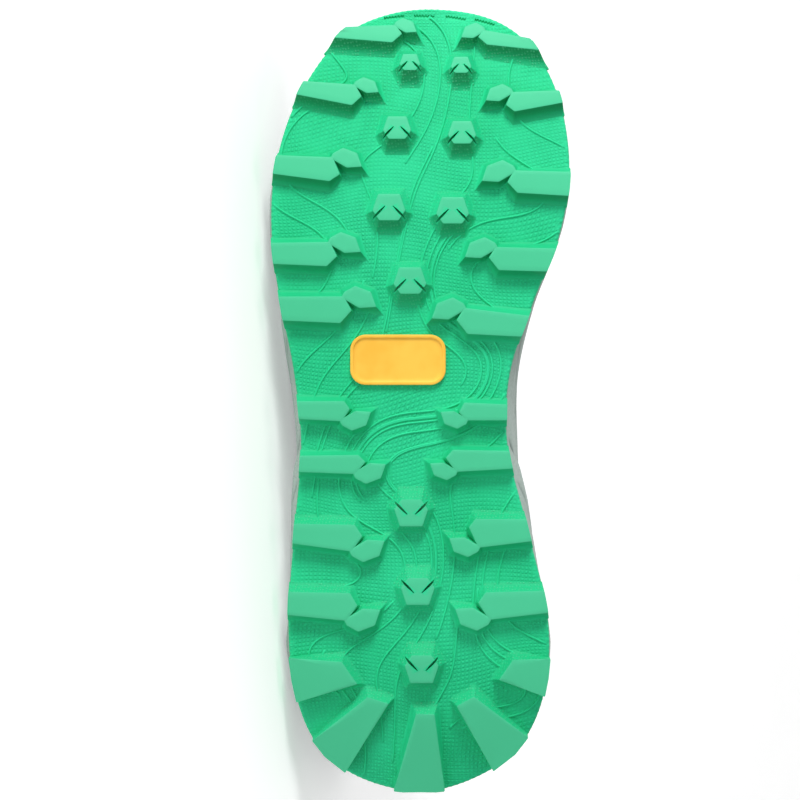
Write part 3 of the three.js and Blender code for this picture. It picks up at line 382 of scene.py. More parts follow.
# %% [markdown]
# ## The last
# The upper takes its form from a last. Each line up the last is a cubic curve with one handle at
# each end, and the lines run round the shoe as a loop. The face is a function of two parameters:
# the row u round the shoe and k up the line, 0 at the bottom edge and 1 at the top line.


# %% Face of the last, and the same face moved out along its normal
top_x = loop_of(last_lines["top_along"], last_lines["top_along"]) * SOLE_LENGTH
top_y = loop_of(last_lines["top_across"], -last_lines["top_across"]) * UPPER_WIDTH
top_rise = loop_of(last_lines["top_medial"], last_lines["top_lateral"]) * INSTEP_HEIGHT
line_shape = {name: loop_of(last_lines[name], last_lines[name]) * INSTEP_HEIGHT
              for name in ("out", "rise", "reach", "drop")}


def bezier(a, b, c, d, t):
    """Cubic curve from a to d with the handles b and c."""
    t = np.asarray(t)[..., None]
    s = 1 - t
    return a * s**3 + 3 * b * s**2 * t + 3 * c * s * t**2 + d * t**3


def upper_face(u, k):
    """Point of the upper's outer face at row u and share k up the line."""
    u, k = np.broadcast_arrays(np.asarray(u, float), np.asarray(k, float))
    foot, away = last_edge.point(u), last_edge.normal(u)
    x = loop_at(top_x, u)
    top = np.stack([x, loop_at(top_y, u), footbed(x) + loop_at(top_rise, u)], -1)
    start = raised(foot, footbed(foot[..., 0]) + GAP)

    def handle(outwards, upwards):
        return np.concatenate([away * outwards[..., None], upwards[..., None]], -1)

    leave = start + handle(loop_at(line_shape["out"], u), loop_at(line_shape["rise"], u))
    arrive = top + handle(loop_at(line_shape["reach"], u), -loop_at(line_shape["drop"], u))
    return bezier(start, leave, arrive, top, k)


def upper_normal(u, k):
    """Outward normal of the face, from its slopes round the shoe and up the line."""
    round_it = upper_face(u + 0.05, k) - upper_face(u - 0.05, k)
    up_it = upper_face(u, np.minimum(k + 0.01, 1)) - upper_face(u, np.maximum(k - 0.01, 0))
    return unit(np.cross(up_it, round_it))


def upper_at(u, k, offset):
    """The face moved out along its normal, or in where offset is negative."""
    return upper_face(u, k) + upper_normal(u, k) * np.asarray(offset)[..., None]


# %% Where a line up the last has climbed a given length, and where it leaves the rim
LENGTH_STEPS = 80
HALVINGS = 24


def k_at_length(u, length, from_top=False):
    """k where the line has climbed a length from its bottom, or gone down it from its top."""
    u, length = np.broadcast_arrays(np.asarray(u, float), np.asarray(length, float))
    shares = np.linspace(0, 1, LENGTH_STEPS + 1)
    ks = 1 - shares if from_top else shares
    walked = walked_along(upper_face(u[..., None], ks))
    i = np.clip((walked < length[..., None]).sum(-1) - 1, 0, len(shares) - 2)[..., None]
    here = np.take_along_axis(walked, i, -1)[..., 0]
    after = np.take_along_axis(walked, i + 1, -1)[..., 0]
    share = np.clip((i[..., 0] + (length - here) / (after - here)) / LENGTH_STEPS, 0, 1)
    return 1 - share if from_top else share


def k_at_rim(u):
    """k where the upper leaves the midsole's rim, by halving."""
    u = np.asarray(u, float)
    low, high = np.zeros(u.shape), np.full(u.shape, 0.6)
    for _ in range(HALVINGS):
        k = (low + high) / 2
        under = upper_face(u, k)[..., 2] < rim_height(last_edge.point(u)[..., 0])
        low, high = np.where(under, k, low), np.where(under, high, k)
    return (low + high) / 2


def wall_at(u, k):
    """Wall of the upper: padded round the collar, plain fabric elsewhere."""
    padded = 1 - smooth(PADDED_TO_ROW, PADDING_ENDS_ROW, row_from_heel(u))
    return UPPER_WALL + COLLAR_PADDING * padded * smooth(PADDING_FROM_K, PADDING_FULL_K, k)


# %% [markdown]
# ## From arrays to pieces
# A patch is a grid of points with its faces, and with two coordinates in millimetres that follow
# the surface, so that a weave can follow it too. They belong to the corners of the faces, because
# a closed loop would otherwise squeeze the whole pattern into its last column. Several patches
# make a piece. Equal points are merged, which closes seams and poles, and the faces are turned
# outwards.


# %% Patches
def grid_faces(rows, columns, close_rows=False, close_columns=False):
    """Corner numbers of the quads of a grid, twice: as points, and as places in an open grid that
    is one longer each way that the grid closes."""
    r = np.arange(rows if close_rows else rows - 1)[:, None]
    c = np.arange(columns if close_columns else columns - 1)[None, :]
    wide = columns + close_columns
    corners = [(r, c), (r, c + 1), (r + 1, c + 1), (r + 1, c)]
    points = [(a % rows) * columns + b % columns for a, b in corners]
    places = [a * wide + b for a, b in corners]
    return tuple(stacked(*ends).reshape(-1, 4) for ends in (points, places))


def patch(points, uv=None, close_rows=False, close_columns=False, **marks):
    """A grid of points, its faces, the corners' coordinates and the marks of its points."""
    rows, columns = points.shape[:2]
    faces, places = grid_faces(rows, columns, close_rows, close_columns)
    flat_uv = np.zeros((places.max() + 1, 2)) if uv is None else uv.reshape(-1, 2)
    marks = {name: np.broadcast_to(mark, (rows, columns)).reshape(-1)
             for name, mark in marks.items()}
    return {"points": points.reshape(-1, 3), "faces": faces, "uv": flat_uv[places],
            "marks": marks}


def tube(rings, uv=None, **marks):
    """Closed form through closed rings, with a flat cap on its first and last ring."""
    middle = rings.mean(1, keepdims=True)
    capped = np.concatenate([np.broadcast_to(middle[:1], rings[:1].shape), rings,
                             np.broadcast_to(middle[-1:], rings[-1:].shape)])
    if uv is not None:
        uv = np.concatenate([uv[:1], uv, uv[-1:]])
    marks = {name: np.concatenate([mark[:1], mark, mark[-1:]]) for name, mark in marks.items()}
    return patch(capped, uv, close_columns=True, **marks)


# %% Pieces
WELD = 2e-6


def mesh_of(name, patches):
    """One mesh of several patches, merged, closed and turned outwards."""
    counts = np.cumsum([0] + [len(p["points"]) for p in patches])
    points = lay(np.concatenate([p["points"] for p in patches]))
    faces = np.concatenate([p["faces"] + start for p, start in zip(patches, counts)])
    uv = np.concatenate([p["uv"] for p in patches]).reshape(-1, 2)
    mesh = bpy.data.meshes.new(name)
    mesh.vertices.add(len(points))
    mesh.vertices.foreach_set("co", points.astype(np.float32).ravel())
    mesh.loops.add(faces.size)
    mesh.loops.foreach_set("vertex_index", faces.astype(np.int32).ravel())
    mesh.polygons.add(len(faces))
    mesh.polygons.foreach_set("loop_start", np.arange(0, faces.size, 4, dtype=np.int32))
    mesh.update(calc_edges=True)
    mesh.uv_layers.new(name="surface").data.foreach_set("uv", uv.astype(np.float32).ravel())
    for mark in sorted({mark for p in patches for mark in p["marks"]}):
        values = np.concatenate([p["marks"].get(mark, np.zeros(len(p["points"])))
                                 for p in patches])
        mesh.attributes.new(mark, "FLOAT", "POINT").data.foreach_set(
            "value", values.astype(np.float32))
    work = bmesh.new()
    work.from_mesh(mesh)
    bmesh.ops.remove_doubles(work, verts=work.verts, dist=WELD)
    bmesh.ops.dissolve_degenerate(work, edges=work.edges, dist=WELD / 4)
    bmesh.ops.recalc_face_normals(work, faces=work.faces)
    work.to_mesh(mesh)
    work.free()
    mesh.shade_smooth()
    return mesh


def piece(name, patches, material, node):
    """A finished piece with the given finish, which stands for a node of the solids and hides it.
    """
    made = placed(name, mesh_of(name, patches))
    made.data.materials.append(material)
    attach(made, "root")
    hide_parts(node)
    made.data.calc_loop_triangles()
    print(f"{name}: {len(made.data.loop_triangles)} triangles")
    return made


def sharp_edges(made, degrees):
    """Keeps edges that turn more than the angle crisp."""
    made.data.set_sharp_from_angle(angle=math.radians(degrees))


# %% [markdown]
# ## Shader maths as Python
# A finish is a sum of patterns, and it reads best as arithmetic. One small class wraps a socket,
# and its operators add Math nodes. Every other node comes from one method that takes its type,
# its settings and its sockets. Patterns read the surface's own coordinates or the piece's
# Object coordinates, never the camera's.


# %% Sockets that can be reckoned with, and a material under construction
class Value:
    """A node's output. Arithmetic on it adds Math nodes."""

    def __init__(self, paint, socket):
        self.paint = paint
        self.socket = socket

    def math(self, operation, *others):
        """This value and others through one Math node."""
        return self.paint.math(operation, self, *others)

    def __add__(self, other):
        return self.math("ADD", other)

    def __mul__(self, other):
        return self.math("MULTIPLY", other)

    __radd__ = __add__
    __rmul__ = __mul__

    def __sub__(self, other):
        return self.math("SUBTRACT", other)

    def __rsub__(self, other):
        return self.paint.math("SUBTRACT", other, self)

    def __truediv__(self, other):
        return self.math("DIVIDE", other)

    def wave(self):
        """Cosine of the value as turns, from -1 to 1."""
        return (self * (2 * math.pi)).math("COSINE")

    def step(self, start, end):
        """0 before start, 1 after end, and an S between them."""
        return self.paint.node(
            "ShaderNodeMapRange", {"interpolation_type": "SMOOTHSTEP"},
            {"Value": self, "From Min": start, "From Max": end}, "Result")


class Paint:
    """A material under construction."""

    def __init__(self, name):
        self.material = bpy.data.materials.new(name)
        self.material.use_nodes = True
        self.tree = self.material.node_tree
        self.shader = self.tree.nodes["Principled BSDF"]

    def node(self, kind, settings=None, sockets=None, output=0):
        """A node with its settings, then the numbers or links of its sockets."""
        made = self.tree.nodes.new(kind)
        for name, setting in (settings or {}).items():
            setattr(made, name, setting)
        for name, value in (sockets or {}).items():
            self.put(made.inputs[name], value)
        return Value(self, made.outputs[output])

    def put(self, socket, value):
        """Sets a socket to a number or colour, or links a value to it."""
        if isinstance(value, Value):
            self.tree.links.new(value.socket, socket)
        else:
            socket.default_value = value

    def math(self, operation, *values):
        """A Math node."""
        return self.node("ShaderNodeMath", {"operation": operation}, dict(enumerate(values)))

    def mix(self, share, a, b):
        """Colour a where share is 0 and colour b where it is 1."""
        return self.node("ShaderNodeMix", {"data_type": "RGBA"}, {0: share, 6: a, 7: b}, 2)

    def layers(self, color, *layers):
        """A colour with others laid over it, each by its share."""
        for share, over in layers:
            color = self.mix(share, color, over)
        return color

    def surface(self):
        """The two coordinates that follow the surface, in millimetres."""
        uv = self.node("ShaderNodeUVMap", {"uv_map": "surface"}, output="UV")
        split = {"Vector": uv}
        return [self.node("ShaderNodeSeparateXYZ", {}, split, axis) for axis in ("X", "Y")]

    def place(self):
        """Object coordinates, in metres."""
        return self.node("ShaderNodeTexCoord", output="Object")

    def mark(self, name):
        """A number that was stored with the points."""
        return self.node("ShaderNodeAttribute", {"attribute_name": name}, output="Fac")

    def noise(self, size_mm, detail=2.0):
        """Clouds of about the given size, around 0.5."""
        return self.node("ShaderNodeTexNoise", {}, {
            "Vector": self.place(), "Scale": 1000.0 / size_mm, "Detail": detail}, "Fac")

    def cells(self, size_mm, randomness=1.0):
        """Distance to the nearest of scattered points about the given size apart."""
        return self.node("ShaderNodeTexVoronoi", {}, {
            "Vector": self.place(), "Scale": 1000.0 / size_mm, "Randomness": randomness},
            "Distance")

    def bump(self, height_mm):
        """Feeds a height in millimetres to the shader's normal."""
        normal = self.node("ShaderNodeBump", {}, {"Height": height_mm, "Distance": MM}, "Normal")
        self.put(self.shader.inputs["Normal"], normal)

    def finish(self, color, roughness, constants=None):
        """Sets colour and roughness, and the shader's plain numbers."""
        self.put(self.shader.inputs["Base Color"], color)
        self.put(self.shader.inputs["Roughness"], roughness)
        for name, value in (constants or {}).items():
            self.put(self.shader.inputs[name], value)
        return self.material


def rgb(red, green, blue):
    """A linear colour from the 0 to 255 values of a screen colour."""
    c = np.array([red, green, blue]) / 255
    linear = np.where(c <= 0.04045, c / 12.92, ((c + 0.055) / 1.055) ** 2.4)
    return (*linear.tolist(), 1.0)


# %% [markdown]
# ## Green rubber
# The tread is one moulded rubber. The worn faces of the lugs are smooth and a little pale, partly
# from wear and partly from a painted sheen, the sides are rougher, and the base between the lugs
# has a fine grid of small squares, which grips wet rock, with painted shade in the grooves between
# them. The grid bends with the terrain lines, so its coordinates are stored with the base.

# %% Rubber
GRID_PITCH = 1.45


def rubber():
    """Green rubber. The worn tops are smooth and pale, partly from wear and partly from a painted
    sheen. The base has a grid of small raised squares, made of two waves along its own
    coordinates, that fades in and out as on a mould that has been used for long, with painted
    shade in the grooves between the squares. Marked sides are knurled with dots, and sides marked
    in shade are darkened as painted shade. All of it has the fine grain of a sparked mould."""
    paint = Paint("rubber")
    along, across = paint.surface()
    top, base, knurl, shade = (paint.mark(name) for name in ("top", "base", "knurl", "shade"))
    rows = (along / GRID_PITCH).wave() * 0.5 + 0.5
    squares = rows.math("MINIMUM", (across / GRID_PITCH).wave() * 0.5 + 0.5).step(0.10, 0.70)
    worn = 0.45 + paint.noise(16.0).step(0.30, 0.65) * 0.55
    dots = 1 - paint.cells(1.15, randomness=0.35).step(0.08, 0.50)
    fine = paint.noise(0.55, 3.0)
    paint.bump(squares * base * worn * 0.20 + dots * knurl * 0.22 + fine * (0.05 - top * 0.035))
    # Painted shade darkens the grid's grooves and the lug sides marked in shade. The pale worn
    # tops are partly wear and partly painted sheen.
    color = paint.layers(
        paint.mix(paint.noise(45.0).step(0.3, 0.7), rgb(24, 195, 133), rgb(36, 204, 144)),
        (base * (1 - squares) * worn * 0.32, rgb(4, 156, 98)),
        (shade * 0.85, rgb(2, 118, 62)),
        (dots * knurl * 0.45, rgb(90, 206, 154)),
        (top * 0.80, rgb(74, 188, 142)))
    return paint.finish(color, 0.60 - top * 0.06 + fine * 0.10, {"Specular IOR Level": 0.25})


rubber_material = rubber()

# %% [markdown]
# ## The tread's base
# The rubber is a thin sheet that follows the ground side of the foam. Its face is a grid between
# the two edges, and the rest are rings that go once round it: over a small rounded edge, up the
# side, and over the lip that the rubber turns up at the toe.

# %% Terrain that the moulded lines and the grid follow
COLUMNS_PER_ROW = 12
round_rows = np.arange(LOOP_ROWS * COLUMNS_PER_ROW) / COLUMNS_PER_ROW


def terrain(x, y):
    """A made-up hilly height over the plan. Its contour lines run along the shoe, slant across
    the arch and curl round a few hills."""
    slant = 26 * np.tanh((x - 150) / 55)
    hills = (9 * np.sin(x / 15 + y / 21) + 8 * np.sin(x / 28 - y / 13 + 1.3)
             + 5 * np.cos(x / 10 - y / 30 + 0.4))
    return y - slant + hills


def grid_place(x, y):
    """Coordinates of the embossed grid: the plan bent gently along the terrain."""
    bend = terrain(x, y) - y
    return np.stack([x + 2.5 * np.sin(y / 13 + x / 40) + 0.12 * bend, y + 0.16 * bend], -1)


def tread_point(plan, h):
    """h millimetres out of the rubber's face at the plan points."""
    x, y = plan[..., 0], plan[..., 1]
    slope = tread_base(x + 0.5) - tread_base(x - 0.5)
    steep = np.sqrt(slope**2 + 1)
    return stacked(x + slope / steep * h, y, tread_base(x) - h / steep)


def lip_share(u):
    """1 where the rubber turns up over the toe's tip, and 0 at the sides."""
    return smooth(TOE_ROW - 4, TOE_ROW - 2, row_from_heel(u))


# %% Base sheet
EDGE_RADIUS = 0.7
FACE_COLUMNS = 48
EDGE_COLUMNS_PER_ROW = 48
TOOTH = 2.3
TOOTH_DEPTH = 0.45
HEEL_WELT = 0.75
WELT_FADES = (0.15, 0.20)
edge_rows = np.arange(LOOP_ROWS * EDGE_COLUMNS_PER_ROW) / EDGE_COLUMNS_PER_ROW


def teeth(edge):
    """Depth of the fine teeth along the tread's edge: a zigzag over the length of the outline."""
    walked = np.cumsum(np.linalg.norm(np.diff(edge, axis=0, prepend=edge[-1:]), axis=-1))
    turns = walked / walked[-1] * round(walked[-1] / TOOTH)
    return TOOTH_DEPTH * np.abs(2 * (turns - np.floor(turns)) - 1)


def across_shoe(ring, columns):
    """Grid between the lateral and the medial half of a ring that goes once round the shoe."""
    medial = np.arange(len(ring) // 2 + 1)
    share = np.linspace(0, 1, columns + 1)[None, :, None]
    return blend(ring[-medial % len(ring)][:, None], ring[medial][:, None], share)


def tread_sheet():
    """Face grid between the edges, and rings round the edge: down its rounded corner, up the
    side, over the lip and back across the inside. Under the heel the edge stands out as a small
    welt, as far as the lugs' ends do."""
    edge, away = tread_edge.point(edge_rows), tread_edge.normal(edge_rows)
    under_heel = 1 - smooth(*WELT_FADES, edge[:, 0] / SOLE_LENGTH)
    edge[:, 0] = tread_point(edge, LUG_HEIGHT * HEEL_WELT * under_heel)[:, 0]
    lip = lip_share(edge_rows)
    low = tread_base(edge[:, 0])
    high = low + RUBBER + TOE_LIP_HEIGHT * lip
    wall = TOE_LIP_WALL * lip
    tooth = teeth(edge)

    def ring(inset, z):
        return raised(edge - away * inset[:, None], z)

    corner = [ring(EDGE_RADIUS * (1 - math.sin(a)) + tooth, low + EDGE_RADIUS * (1 - math.cos(a)))
              for a in np.linspace(0, math.pi / 2, 4)]
    side = ring(tooth * 0.3, low + EDGE_RADIUS + 0.5)
    radius = np.maximum(wall / 2, 0.01)
    over = [ring(radius * (1 - math.cos(a)), high - radius * (1 - math.sin(a)))
            for a in np.linspace(0, math.pi, 7)]
    inside = ring(wall, tread_base(edge[:, 0] - away[:, 0] * wall) + RUBBER)
    face = across_shoe(corner[0], FACE_COLUMNS)
    return [
        patch(face, grid_place(face[..., 0], face[..., 1]), base=1.0),
        patch(np.stack([*corner, side, *over, inside]), close_columns=True, knurl=0.5),
        patch(across_shoe(inside, 2)),
    ]


# %% Four knurled slots at the toe
toe_slots = [(294.6, -9.8, -0.12), (295.0, 1.7, 0.03), (294.3, 13.7, 0.16), (292.6, 24.7, 0.28)]
SLOT_LENGTH = 7.8
SLOT_BREADTH = 2.0
SLOT_DEPTH = 1.2
SLOT_TEETH = 15
SLOT_TOOTH = 0.55


def toe_slot(x, y, turn):
    """Cutter with zigzag sides, along the toe's edge: a row of four-cornered rings."""
    along = np.linspace(-0.5, 0.5, SLOT_TEETH)[:, None] * SLOT_LENGTH
    half = SLOT_BREADTH / 2 - SLOT_TOOTH * (np.arange(SLOT_TEETH) % 2)[:, None]
    aside = half * np.array([-1, 1, 1, -1])
    plan = stacked(x - along * math.sin(turn) + aside * math.cos(turn),
                   y + along * math.cos(turn) + aside * math.sin(turn))
    return tube(tread_point(plan, np.array([-SLOT_DEPTH, -SLOT_DEPTH, 1.0, 1.0])))


def cut(made, patches):
    """Takes the closed forms of the patches out of a piece, exactly."""
    tool = placed("cutter", mesh_of("cutter", patches))
    modifier = made.modifiers.new("cut", "BOOLEAN")
    modifier.operation = "DIFFERENCE"
    modifier.solver = "EXACT"
    modifier.object = tool
    result = bpy.data.meshes.new_from_object(
        made.evaluated_get(bpy.context.evaluated_depsgraph_get()))
    made.modifiers.clear()
    made.data = result
    bpy.data.objects.remove(tool)


tread_sheet_piece = piece("tread_sheet", tread_sheet(), rubber_material, "outsole")
cut(tread_sheet_piece, [toe_slot(*row) for row in toe_slots])
sharp_edges(tread_sheet_piece, 50)

# %% [markdown]
# ## Lugs
# Each lug is a drafted block: a flat worn face, a small rounded edge, sides that lean out, and a
# fillet where it meets the base. Its outline is a polygon whose sides are moved out level by
# level, and each level is the same outline with its corners cut round, so the block is a loft.


# %% Outlines that grow and corners that round
SHARPEST_CORNER = 0.3
CORNER_STEPS = 4
LONGEST_ROUNDING = 0.45


def outwards(outline, directions):
    """Directions along a closed outline, turned a quarter so that they look out of it."""
    after = np.roll(outline, -1, 0)
    area = np.sum(outline[:, 0] * after[:, 1] - after[:, 0] * outline[:, 1])
    return np.stack([directions[:, 1], -directions[:, 0]], -1) * np.sign(area)


def growth(outline):
    """How each corner moves when every side of the outline moves out by one millimetre."""
    side_b = outwards(outline, unit(np.roll(outline, -1, 0) - outline))
    side_a = np.roll(side_b, 1, 0)
    shared = np.sum(side_a * side_b, -1, keepdims=True)
    return (side_a + side_b) / np.maximum(1 + shared, SHARPEST_CORNER)


def rounded_outline(outline, radius):
    """The outline with each corner replaced by a short curve that starts and ends on its sides,
    and each side cut into a few steps."""
    before, after = np.roll(outline, 1, 0), np.roll(outline, -1, 0)
    length_in = np.linalg.norm(outline - before, axis=-1, keepdims=True)
    length_out = np.linalg.norm(after - outline, axis=-1, keepdims=True)
    reach = np.minimum(radius, LONGEST_ROUNDING * np.minimum(length_in, length_out))
    a = outline + (before - outline) / length_in * reach
    b = outline + (after - outline) / length_out * reach
    t = np.linspace(0, 1, CORNER_STEPS + 1)[None, :, None]
    curve = a[:, None] * (1 - t)**2 + 2 * outline[:, None] * t * (1 - t) + b[:, None] * t**2
    straight = blend(b[:, None], np.roll(a, -1, 0)[:, None], np.array([1, 2])[:, None] / 3)
    return np.concatenate([curve, straight], 1).reshape(-1, 2)


# %% Loft of one lug
LUG_LEVELS = [  # height as a share of the lug, millimetres out at the top edge, share of draft
    (1.00, -1.6, 0.0), (1.00, -0.26, 0.0), (0.985, -0.08, 0.0), (0.945, 0.0, 0.0),
    (0.70, 0.0, 0.26), (0.40, 0.0, 0.60), (0.16, 0.0, 0.88), (0.05, 0.22, 1.0),
    (-0.02, 0.8, 1.05), (-0.25, 0.8, 1.05),
]
SKIRT_LEVELS = [
    (1.00, -1.4, 0.0), (1.00, -0.22, 0.0), (0.985, -0.07, 0.0), (0.94, 0.0, 0.0),
    (0.72, 0.0, 0.30), (0.62, 0.10, 0.55), (0.40, 0.1, 0.95), (0.16, 0.1, 1.30),
    (0.05, 0.3, 1.45), (-0.02, 0.8, 1.5), (-0.25, 0.8, 1.5),
]
LUG_CORNER = 0.5
SIDE_BELOW = 0.96
FOREFOOT_FROM = 0.5
HEEL_TO = 0.37


def leaning(moves, outline, lean=0.6):
    """Under the forefoot the sides that face the heel lean out more. Under the heel it is the
    sides that face the toe."""
    share = outline[:, 0].mean() / SOLE_LENGTH
    backwards = 1 + lean * (share > FOREFOOT_FROM)
    forwards = 1 + lean * (share < HEEL_TO)
    lean_x = np.where(moves[:, 0] < 0, backwards, forwards)
    return moves * np.stack([lean_x, np.ones(len(moves))], -1)


def lug_loft(outline, moves, height=LUG_HEIGHT, levels=LUG_LEVELS, knurled=0.0):
    """Closed loft of a lug from its worn face down into the rubber. moves says how far each corner
    moves for a millimetre of draft. The loft is marked where it is worn, where it is knurled, on
    the sides that face the arch in the first row and at the heel, and where its sides get painted
    shade: most on the sides that face the heel, near their top and under the toes, and a little on
    the sides that face the toe."""
    share_along = outline[:, 0].mean() / SOLE_LENGTH
    first_row = smooth(0.87, 0.90, share_along)
    heel_rows = 1 - smooth(0.35, 0.40, share_along)
    darkest = 0.30 + 0.65 * smooth(0.4, 0.9, share_along)
    rings, marks = [], []
    for share, out, drafted in levels:
        ring = rounded_outline(outline + moves * (out + LUG_DRAFT * drafted), LUG_CORNER)
        rings.append(tread_point(ring, share * height))
        ahead = outwards(ring, unit(np.roll(ring, -1, 0) - np.roll(ring, 1, 0)))[:, 0]
        side = float(share < SIDE_BELOW)
        knurl = first_row * np.clip(-ahead, 0, 1) + heel_rows * np.clip(ahead, 0, 1) + knurled
        # Painted shade: the sides that face the heel are darkened most near their top and towards
        # the toe, those that face the toe a little.
        near_top = 0.50 + 0.50 * smooth(0.05, 0.65, share)
        shade = near_top * darkest * smooth(0.1, 0.7, -ahead) + 0.36 * smooth(0.1, 0.7, ahead)
        marks.append([np.full(len(ring), 1 - side), side * np.clip(knurl, 0, 1), side * shade])
    top, knurl, shade = np.stack(marks, 1)
    return tube(np.stack(rings), top=top, knurl=knurl, shade=shade)


def edge_row(at, side):
    """Row of the tread's outline at a share of the length, on one side, by halving."""
    low, high = 0.0, float(TOE_ROW)
    for _ in range(30):
        u = (low + high) / 2
        here = tread_edge.point(np.array(u if side > 0 else LOOP_ROWS - u))[0]
        low, high = (u, high) if here < at * SOLE_LENGTH else (low, u)
    return low if side > 0 else LOOP_ROWS - low


# %% Lugs that start at the tread's edge: a blade, and a wing beside its point
edge_lugs = [  # side, at, breadth, reach, front, tip, back, wing
    (-1, 0.960, 0.036, 0.210, 0.027, -0.002, -0.032, 0.70),
    (-1, 0.889, 0.046, 0.206, 0.012, -0.028, -0.058, 0.78),
    (-1, 0.792, 0.062, 0.217, 0.025, -0.032, -0.055, 0.95),
    (-1, 0.681, 0.070, 0.215, 0.038, -0.010, -0.043, 1.00),
    (-1, 0.612, 0.080, 0.235, 0.040, -0.007, -0.049, 1.05),
    (-1, 0.484, 0.060, 0.171, 0.030, 0.003, -0.038, -0.95),
    (-1, 0.416, 0.055, 0.218, 0.030, 0.006, -0.034, -1.00),
    (-1, 0.328, 0.067, 0.228, 0.030, -0.009, -0.060, -1.08),
    (-1, 0.240, 0.077, 0.230, 0.035, -0.008, -0.058, -1.10),
    (1, 0.945, 0.040, 0.190, 0.050, 0.027, 0.000, 0.75),
    (1, 0.878, 0.042, 0.183, 0.016, -0.027, -0.050, 0.85),
    (1, 0.768, 0.080, 0.207, 0.045, 0.006, -0.030, 1.05),
    (1, 0.673, 0.077, 0.208, 0.042, 0.007, -0.035, 1.00),
    (1, 0.590, 0.070, 0.227, 0.060, 0.019, -0.027, 1.05),
    (1, 0.481, 0.054, 0.158, 0.033, 0.000, -0.027, -0.85),
    (1, 0.421, 0.060, 0.215, 0.034, 0.007, -0.040, -0.85),
    (1, 0.332, 0.074, 0.198, 0.039, 0.011, -0.058, -0.95),
    (1, 0.242, 0.074, 0.225, 0.032, -0.003, -0.060, -1.10),
]
FRONT_CORNER_REACH = 0.89
BACK_CORNER_REACH = 0.84
NOTCH_SHARE = 0.45
WING_LOWER = 0.04
wing_corners = np.array([
    [-0.008, -0.004], [0.001, 0.014], [0.036, 0.033],
    [0.086, 0.014], [0.103, -0.034], [0.049, -0.037],
])


def flush(moves, rows):
    """The moves of the first corners without their part across the tread's edge."""
    away = tread_edge.normal(np.array(rows))
    kept = moves.copy()
    kept[:len(rows)] -= away * np.sum(moves[:len(rows)] * away, -1, keepdims=True)
    return kept


def edge_lug(side, at, breadth, reach, front, tip, back, wing):
    """Blade whose outer end is flush with the edge, and the wing beside its point, on the toe's
    side where wing is positive and else on the heel's. The sides of the notch between them stand
    steeper than the others."""
    start = at * SOLE_LENGTH
    half = breadth * BALL_WIDTH / 2
    edge_y = tread_edge.point(np.array(edge_row(at, side)))[1]

    def inner(inwards, ahead):
        return np.array([start + ahead * BALL_WIDTH, edge_y - side * inwards * BALL_WIDTH])

    rows = [edge_row((start + ahead * half) / SOLE_LENGTH, side) for ahead in (-1, 0, 1)]
    outer = tread_edge.point(np.array(rows)) + tread_edge.normal(np.array(rows)) * GAP
    front_corner = inner(reach * FRONT_CORNER_REACH, front)
    back_corner = inner(reach * BACK_CORNER_REACH, back)
    blade = np.stack([*outer, front_corner, inner(reach, tip), back_corner])
    towards = math.copysign(1, wing)
    root = front_corner if towards > 0 else back_corner
    size = abs(wing) * BALL_WIDTH
    corners = np.stack([root[0] + towards * wing_corners[:, 1] * size,
                        root[1] - side * wing_corners[:, 0] * size], -1)
    blade_moves = flush(leaning(growth(blade), blade), rows)
    wing_moves = leaning(growth(corners), corners)
    blade_moves[4] *= NOTCH_SHARE
    wing_moves[[0, 5]] *= NOTCH_SHARE
    return [lug_loft(blade, blade_moves),
            lug_loft(corners, wing_moves, height=LUG_HEIGHT - WING_LOWER)]


# %% Lugs down the middle, each an arrow parted from two wings by slits
middle_lugs = [  # at, across, size, points to the toe (1) or the heel (-1)
    (0.9220, -0.034, 0.070, 1), (0.9185, 0.138, 0.070, 1),
    (0.8380, -0.077, 0.095, 1), (0.8320, 0.140, 0.095, 1),
    (0.7380, -0.104, 0.110, 1), (0.7340, 0.108, 0.110, 1),
    (0.6460, -0.034, 0.110, 1), (0.3550, -0.030, 0.113, -1),
    (0.2560, -0.008, 0.113, -1), (0.1590, 0.005, 0.113, -1),
]
middle_corners = np.array([[0.33, 0.42], [0.50, -0.08], [0.29, -0.38]])
MIDDLE_LEAN = 0.7
MIDDLE_KNURL = 0.55
SLIT_WIDTH = 0.9
SLIT_DEPTH = 2.6
SLIT_FROM = (0.12, 0.06)
SLIT_TO = (0.55, -0.37)


def middle_place(lug, side, across, ahead):
    """Plan point of a middle lug, from shares of its size."""
    at, middle, size, points = lug
    size = size * BALL_WIDTH
    return np.stack([at * SOLE_LENGTH + points * ahead * size,
                     middle * BALL_WIDTH + side * across * size], -1)


def middle_lug(lug):
    """Six-sided block."""
    right = middle_place(lug, 1, middle_corners[:, 0], middle_corners[:, 1])
    left = middle_place(lug, -1, middle_corners[::-1, 0], middle_corners[::-1, 1])
    outline = np.concatenate([right, left])
    moves = leaning(growth(outline), outline, MIDDLE_LEAN)
    return lug_loft(outline, moves, levels=SKIRT_LEVELS, knurled=MIDDLE_KNURL)


def slit(lug, side):
    """Lens-shaped cutter that is widest in its middle, closed at both ends."""
    start = middle_place(lug, side, *map(np.array, SLIT_FROM))
    end = middle_place(lug, side, *map(np.array, SLIT_TO))
    t = np.linspace(0.0, 1.0, 9)[:, None]
    line = blend(start, end, t)
    aside = unit(np.array([-(end - start)[1], (end - start)[0]]))
    half = SLIT_WIDTH / 2 * (0.25 + 0.75 * np.sin(np.pi * np.clip(t, 0.05, 0.95)))
    ring = np.concatenate([line + aside * half, (line - aside * half)[::-1]])
    heights = (LUG_HEIGHT - SLIT_DEPTH, LUG_HEIGHT + 1)
    return tube(np.stack([tread_point(ring, h) for h in heights]))


